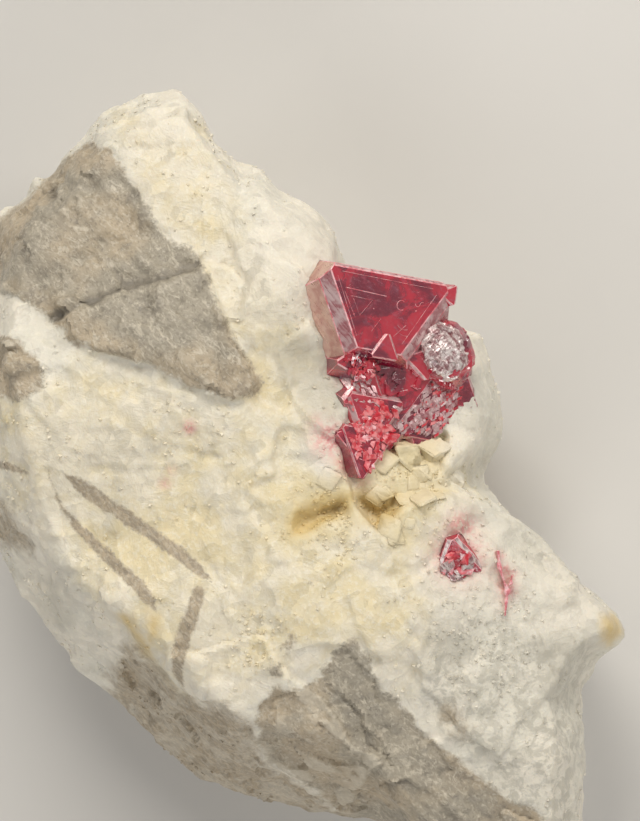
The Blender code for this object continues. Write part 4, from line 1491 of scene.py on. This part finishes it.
# %% [markdown]
# ## Hollows for the crystals
# The same plates, a hair larger, are cut out of the fine rock, so the crystals stand in it without a gap and
# nothing white shows inside the clear red. The cut below the floor makes the back flat.

# %% Hollows
HAIR = 0.02


def cut_hollows(obj):
    cutters = [plate_at(name, spec, HAIR, False) for name, spec in PLATES.items()]
    bm = plate_shape(*SMALL_CRYSTAL[3:], SMALL_BEVELS, HAIR)
    bm.transform(SMALL_PLACE)
    cutters.append(to_object(bm, "hollow_small"))
    cutters.append(to_object(ball_at(DOME_PLACE, [r - 0.1 for r in DOME_RADII], 3), "hollow_dome"))
    bm = bmesh.new()
    bmesh.ops.create_cube(bm, size=100.0)
    bm.transform(Matrix.Translation((0, 0, -50.0)))
    cutters.append(to_object(bm, "below_floor"))
    joined(obj, cutters, "DIFFERENCE", "MANIFOLD")


cut_hollows(rock)
store_patches(rock.data)
print("rock with hollows:", triangles(rock), "triangles,", round(time.time() - START, 1), "s")

# %% [markdown]
# ## The rock's finish
# White vein dolomite is sugary and lets light in, so it has subsurface light, and its small cleavage faces
# differ a little in tone and tilt. The grey rock is duller, with pale flakes drawn out towards the lower
# right; there the raised flakes also get a painted highlight and the hollows a painted shade, from the stored
# relief. Cream, ochre and pink are stains that follow the stored patches.

# %% Dolomite finish
WHITE = (0.75, 0.70, 0.595)
COOL_WHITE = (0.70, 0.665, 0.57)
CREAM = (0.73, 0.635, 0.42)
HONEY = (0.75, 0.63, 0.37)
OCHRE = (0.62, 0.46, 0.19)
GREY = (0.360, 0.320, 0.250)
DARK_GREY = (0.165, 0.146, 0.118)
BROWN_GREY = (0.450, 0.370, 0.262)
COOL_GREY = (0.46, 0.435, 0.365)
# Pale flakes, and also the painted highlight on raised relief
PALE_FLAKE_AND_HIGHLIGHT = (0.60, 0.54, 0.43)
PINK = (0.70, 0.20, 0.21)
# Share by which each cleavage face tilts the light
CELL_TILT = 0.16


def random_number(tree, place, size, number):
    """A random number for each small cell."""
    return channel(tree, cells_of(tree, place, size)["Color"], number)


def dolomite_finish(name, softness):
    """The rock's finish. Softness is the share of light that goes in and comes out again."""
    material, tree, shader = new_finish(name)
    place = object_place(tree)
    broad = noise(tree, place, 8.0, 4.0, 0.55)
    middle = noise(tree, place, 2.2, 5.0, 0.6)
    fine = noise(tree, place, 0.40, 4.0, 0.65)
    flaky_place = turned_place(tree, place, FLAKE_TURN, (0.38, 1.0, 1.0))
    streaks = noise(tree, flaky_place, 0.30, 4.0, 0.6, 0.5)
    painted_light_height = stored(tree, "relief")
    cells = cells_of(tree, place, 0.9)
    cell_tone = channel(tree, cells["Color"], 0)
    grain_tone = random_number(tree, place, 0.20, 1)

    def patch_share(name, edge, ragged, crumbly):
        """From 0 to 1 into a stored patch, with its border broken up by noise. Lengths in millimetres."""
        rough = add_share(tree, math_node(tree, "SUBTRACT", middle, 0.5), ragged, stored(tree, name))
        rough = add_share(tree, math_node(tree, "SUBTRACT", fine, 0.5), crumbly, rough)
        return ramp_between(tree, rough, -edge, edge)

    vein = mix_colour(tree, ramp_between(tree, broad, 0.44, 0.60), WHITE, COOL_WHITE)
    cream_zone = patch_share("cream", 2.4, 5.0, 1.0)
    cream_noise = math_node(tree, "ADD", times(tree, middle, 0.45), times(tree, broad, 0.55))
    cream_noise = ramp_between(tree, cream_noise, 0.42, 0.60, 0.30, 0.95)
    vein = mix_colour(tree, times(tree, cream_zone, cream_noise), vein, CREAM)
    honey = times(tree, ramp_between(tree, broad, 0.50, 0.66, 0.0, 0.40), cream_zone)
    vein = mix_colour(tree, honey, vein, HONEY)
    milky = times(tree, ramp_between(tree, fine, 0.48, 0.66), 0.45)
    vein = mix_colour(tree, milky, vein, (0.84, 0.80, 0.69))
    tone = ramp_between(tree, cell_tone, 0.0, 1.0, 0.93, 1.05)
    tone_colour = add(tree, "ShaderNodeCombineColor", {0: tone, 1: tone, 2: tone}).outputs[0]
    vein = mix_colour(tree, 1.0, vein, tone_colour, "MULTIPLY")

    smears = noise(tree, place, 1.2, 3.0, 0.6, 0.8)
    smears = add_share(tree, math_node(tree, "SUBTRACT", fine, 0.5), 0.45, smears)
    smears = ramp_between(tree, smears, 0.44, 0.60, 0.10, 1.0)
    grey = mix_colour(tree, ramp_between(tree, broad, 0.42, 0.58), GREY, BROWN_GREY)
    grey = mix_colour(tree, ramp_between(tree, middle, 0.50, 0.68, 0.0, 0.5), grey, DARK_GREY)
    flakes = noise(tree, turned_place(tree, place, FLAKE_TURN, (0.55, 1.0, 1.0)), 0.80, 5.0, 0.66, 1.4)
    grey = mix_colour(tree, ramp_between(tree, flakes, 0.53, 0.66, 0.0, 0.75), grey, PALE_FLAKE_AND_HIGHLIGHT)
    grey = mix_colour(tree, ramp_between(tree, flakes, 0.30, 0.42, 0.45, 0.0), grey, DARK_GREY)
    grey = mix_colour(tree, ramp_between(tree, streaks, 0.55, 0.70, 0.0, 0.6), grey, PALE_FLAKE_AND_HIGHLIGHT)
    grey = mix_colour(tree, ramp_between(tree, grain_tone, 0.80, 1.0, 0.0, 0.35), grey, PALE_FLAKE_AND_HIGHLIGHT)
    grey = mix_colour(tree, ramp_between(tree, grain_tone, 0.0, 0.20, 0.35, 0.0), grey, DARK_GREY)
    # Painted highlight on raised flakes and painted shade in the hollows of the relief
    grey = mix_colour(tree, ramp_between(tree, painted_light_height, 0.16, 0.42, 0.0, 0.6), grey, PALE_FLAKE_AND_HIGHLIGHT)
    grey = mix_colour(tree, ramp_between(tree, painted_light_height, -0.50, -0.15, 0.75, 0.0), grey, DARK_GREY)
    brown = mix_colour(tree, ramp_between(tree, grain_tone, 0.4, 0.95, 0.0, 0.45), BROWN_GREY, PALE_FLAKE_AND_HIGHLIGHT)
    brown = mix_colour(tree, ramp_between(tree, streaks, 0.40, 0.60, 0.40, 0.0), brown, DARK_GREY)

    mottled = times(tree, patch_share("mottled", 1.4, 4.5, 2.0), smears)
    vein = mix_colour(tree, times(tree, mottled, 0.7), vein, COOL_GREY)
    bluish = times(tree, patch_share("bluish", 1.2, 3.5, 1.5), 0.55)
    vein = mix_colour(tree, bluish, vein, COOL_GREY)
    vein = mix_colour(tree, times(tree, patch_share("yellow", 0.9, 2.0, 0.8), 0.6), vein, HONEY)
    colour = mix_colour(tree, times(tree, patch_share("ochre", 0.7, 1.2, 0.6), 0.85), vein, OCHRE)
    tan = times(tree, patch_share("brown", 1.0, 3.5, 1.5), ramp_between(tree, middle, 0.42, 0.56, 0.72, 1.0))
    colour = mix_colour(tree, tan, colour, brown)
    colour = mix_colour(tree, patch_share("stringer", 0.16, 0.6, 0.7), colour, brown)
    colour = mix_colour(tree, patch_share("grey", 0.28, 2.0, 1.2), colour, grey)
    pink_share = times(tree, stored(tree, "pink"), ramp_between(tree, fine, 0.36, 0.60, 0.25, 1.0))
    colour = mix_colour(tree, pink_share, colour, PINK)
    speck = cells_of(tree, place, 2.2)["Distance"]
    rare = ramp_between(tree, broad, 0.60, 0.64)
    speck_share = times(tree, ramp_between(tree, speck, 0.02, 0.05, 0.8, 0.0), rare)
    colour = mix_colour(tree, speck_share, colour, DARK_GREY)
    tree.links.new(colour, shader.inputs["Base Color"])

    tree.links.new(ramp_between(tree, cell_tone, 0.0, 1.0, 0.30, 0.60), shader.inputs["Roughness"])
    grey_rock, brown_rock = patch_share("grey", 0.2, 1.6, 0.9), patch_share("brown", 1.0, 3.5, 1.5)
    whole_grey = math_node(tree, "MAXIMUM", grey_rock, brown_rock)
    soft = ramp_between(tree, whole_grey, 0.0, 1.0, softness, softness * 0.07)
    tree.links.new(soft, shader.inputs["Subsurface Weight"])
    shader.inputs["Subsurface Radius"].default_value = (0.0014, 0.0011, 0.0007)
    shader.inputs["Subsurface Scale"].default_value = 1.0
    shader.inputs["IOR"].default_value = 1.55

    blade_turn = times(tree, random_number(tree, place, 1.5, 2), 2 * math.pi)
    blades = noise(tree, turned_place(tree, place, blade_turn, (0.16, 1.0, 0.5)), 0.22, 3.0, 0.6, 0.4)
    height = add_share(tree, cells["Distance"], 0.4, fine)
    height = add_share(tree, blades, 0.8, height)
    height = add_share(tree, grain_tone, add_share(tree, whole_grey, 0.5, 0.06), height)
    height = add_share(tree, streaks, times(tree, whole_grey, 1.2), height)
    relief = add(tree, "ShaderNodeBump", {"Strength": 0.5, "Distance": 0.00018, "Height": height})
    tilt = vector_math(tree, "SUBTRACT", cells["Color"], MIDDLE)[0]
    tilt = vector_math(tree, "SCALE", tilt, scale=CELL_TILT)[0]
    tilted = vector_math(tree, "ADD", relief.outputs["Normal"], tilt)[0]
    tree.links.new(vector_math(tree, "NORMALIZE", tilted)[0], shader.inputs["Normal"])
    return material


DOLOMITE, GRAIN_FINISH = dolomite_finish("dolomite", 0.12), dolomite_finish("dolomite_grain", 0.0)
rock.data.materials.clear()
rock.data.materials.append(DOLOMITE)
rock.data.shade_smooth()
rock.data.set_sharp_from_angle(angle=math.radians(42))

# %% [markdown]
# ## Cleavage rhombs
# Dolomite breaks along three directions that are not square to each other, so its small crystals are rhombs:
# a cube pushed in along its own diagonal. The larger ones around the crystal group are placed one by one.

# %% Rhombs
RHOMBS = [
    (10.0, 4.1, 26.0, 2.6, 20, 25, 10), (12.2, 4.4, 25.2, 2.4, -15, 30, 40),
    (11.3, 2.0, 25.6, 2.2, 35, -10, 20),
    (8.6, 2.6, 25.7, 2.0, 10, 40, -20), (9.2, -2.3, 27.5, 2.5, 12, -14, 30),
    (11.8, -0.4, 26.0, 2.4, -20, 15, 60),
    (5.0, -1.9, 26.9, 1.8, 30, 10, 5), (2.7, -3.0, 26.9, 1.6, -25, 20, 35),
    (13.9, 1.6, 24.6, 2.2, 15, 15, -30),
    (6.5, 0.9, 25.6, 1.7, 40, 20, 15), (-1.9, -1.0, 27.2, 1.7, 20, -30, 50),
]
RHOMB_SHEAR = 0.28
# How much deeper the rhombs sit than in the solid, in millimetres
RHOMB_SINK = 1.45


def rhomb_bm(edge):
    bm = bmesh.new()
    bmesh.ops.create_cube(bm, size=edge)
    diagonal = Vector((1, 1, 1)).normalized()
    for vert in bm.verts:
        vert.co -= diagonal * vert.co.dot(diagonal) * RHOMB_SHEAR
    return bm


def large_rhombs():
    whole = bmesh.new()
    for x, y, z, edge, *turns in RHOMBS:
        bm = rhomb_bm(edge)
        bmesh.ops.bevel(bm, geom=bm.edges[:], offset=0.22, segments=2, profile=0.6, affect="EDGES")
        bmesh.ops.subdivide_edges(bm, edges=bm.edges[:], cuts=5, use_grid_fill=True)
        turn = Euler([math.radians(a) for a in turns]).to_matrix().to_4x4()
        bm.transform(Matrix.Translation((x, y, z - RHOMB_SINK)) @ turn)
        piece = bpy.data.meshes.new("rhomb")
        bm.to_mesh(piece)
        bm.free()
        whole.from_mesh(piece)
        bpy.data.meshes.remove(piece)
    made = to_object(whole, "dolomite_rhombs", GRAIN_FINISH)
    points = places_of(made.data)
    rise = 0.28 * lumps(points, 1.2, 97) + 0.08 * lumps(points, 0.45, 98) + chips(points, 0.9, 0.22, 99)
    move_to(made.data, points + normals_of(made.data) * rise[:, None])
    made.data.shade_smooth()
    made.data.set_sharp_from_angle(angle=math.radians(32))
    store_patches(made.data)
    return made


rhombs = large_rhombs()
print("rhombs:", triangles(rhombs), "triangles")

# %% [markdown]
# ## Sugar grains
# The vein glitters where small cleavage rhombs stand out of it: in nests around the pits and the crystals,
# and here and there elsewhere. The scatter tree sets them, turned at random from a fixed seed.

# %% Sugar
# Nests: centre and reach in pixels
BLOCK_NESTS = [(412, 462, 22), (430, 490, 20), (395, 492, 16), (398, 530, 14), (345, 486, 14)]
NESTS = [
    (330, 515, 34), (385, 500, 34), (420, 465, 40), (455, 545, 34), (340, 440, 24), (250, 640, 30),
    (480, 640, 50),
]


def nest_share(mesh, nests):
    """From 1 in the middle of a nest to 0 outside, on the faces that look up."""
    points, normals = places_of(mesh), normals_of(mesh)
    nest = np.zeros(len(points))
    for px, py, reach in nests:
        away = np.hypot(*(points[:, :2] - on_rock(px, py)).T) / (reach * PIXEL)
        nest = np.maximum(nest, np.exp(-(away**2)) * (away < 1.6))
    return np.where(normals[:, 2] > 0.35, nest, 0.0)


def sugar_share(mesh):
    """Where grains stand: in the nests, thin elsewhere, none in the crystals' hollows or underneath."""
    points, normals = places_of(mesh), normals_of(mesh)
    grey = np.empty(len(points), np.float32)
    mesh.attributes["grey"].data.foreach_get("value", grey)
    nest = nest_share(mesh, NESTS)
    patchy = smooth_step((lumps(points, 2.6, 101) - 0.1) * 2.5)
    share = 0.02 + 0.22 * patchy + 0.8 * nest
    back = np.array(group_axes().to_3x3().inverted())
    u, v, w = back @ (points - np.array(GROUP_CENTRE)).T
    pocket = (w < -0.2) & (w > -7) & (u > -6.5) & (u < 10.5) & (v > -14) & (v < 4.5) & (normals[:, 2] < 0.6)
    return np.where((points[:, 2] < 8) | pocket | (grey > -0.2), 0.0, share)


def flat_block():
    """A low rhomb with rounded edges, for the soft blocks around the pits."""
    bm = rhomb_bm(1.0)
    bm.transform(Matrix.Diagonal((1.0, 1.0, 0.26, 1.0)))
    bmesh.ops.bevel(bm, geom=bm.edges[:], offset=0.14, segments=2, profile=0.5, affect="EDGES")
    for face in bm.faces:
        face.smooth = True
    return bm


grain = to_object(rhomb_bm(1.0), "tiny_rhomb")
store_number(rock.data, "scatter_share", nest_share(rock.data, BLOCK_NESTS))
block = to_object(flat_block(), "flat_block")
blocks = scattered("dolomite_blocks", rock, block, 0.7, (0.9, 2.3), (0.13, 0.13, 3.1), 13, GRAIN_FINISH)
bpy.data.objects.remove(block, do_unlink=True)
store_patches(blocks.data)
store_number(rock.data, "scatter_share", sugar_share(rock.data))
sugar = scattered("dolomite_sugar", rock, grain, 4.0, (0.10, 0.28), (0.7, 0.7, 3.1), 7, GRAIN_FINISH)
store_patches(sugar.data)
bpy.data.objects.remove(grain, do_unlink=True)
print("sugar grains:", triangles(sugar), "triangles,", round(time.time() - START, 1), "s")

# %% [markdown]
# ## What rides and what replaces what
# Everything rides on the one body. The fine rock, its rhombs, blocks and sugar stand for the block's solid,
# and each red piece stands for its own.

PIECES = [
    (rock, "dolomite_matrix", "dolomite"),
    (rhombs, "dolomite_matrix", "dolomite"),
    (blocks, "dolomite_matrix", "dolomite"),
    (sugar, "dolomite_matrix", "dolomite"),
    (group, "cinnabar_group", "cinnabar"),
    (ribs, "cinnabar_group", "cinnabar"),
    (steps, "cinnabar_group", "cinnabar"),
    (dome, "cinnabar_group", "cinnabar"),
    (lip, "cinnabar_group", "cinnabar"),
    (small, "cinnabar_small_crystal", "cinnabar"),
    (seam, "cinnabar_blade", "cinnabar"),
]
for piece, node, slot in PIECES:
    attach(piece, "root")
    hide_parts(node)
    print(piece.name, triangles(piece))

# %% Finish
VISUAL_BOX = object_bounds()
boxes = {"cad": [list(map(float, corner)) for corner in CAD_BOX]}
boxes["visual"] = [list(map(float, corner)) for corner in VISUAL_BOX]
print("boxes:", boxes, round(time.time() - START, 1), "s")
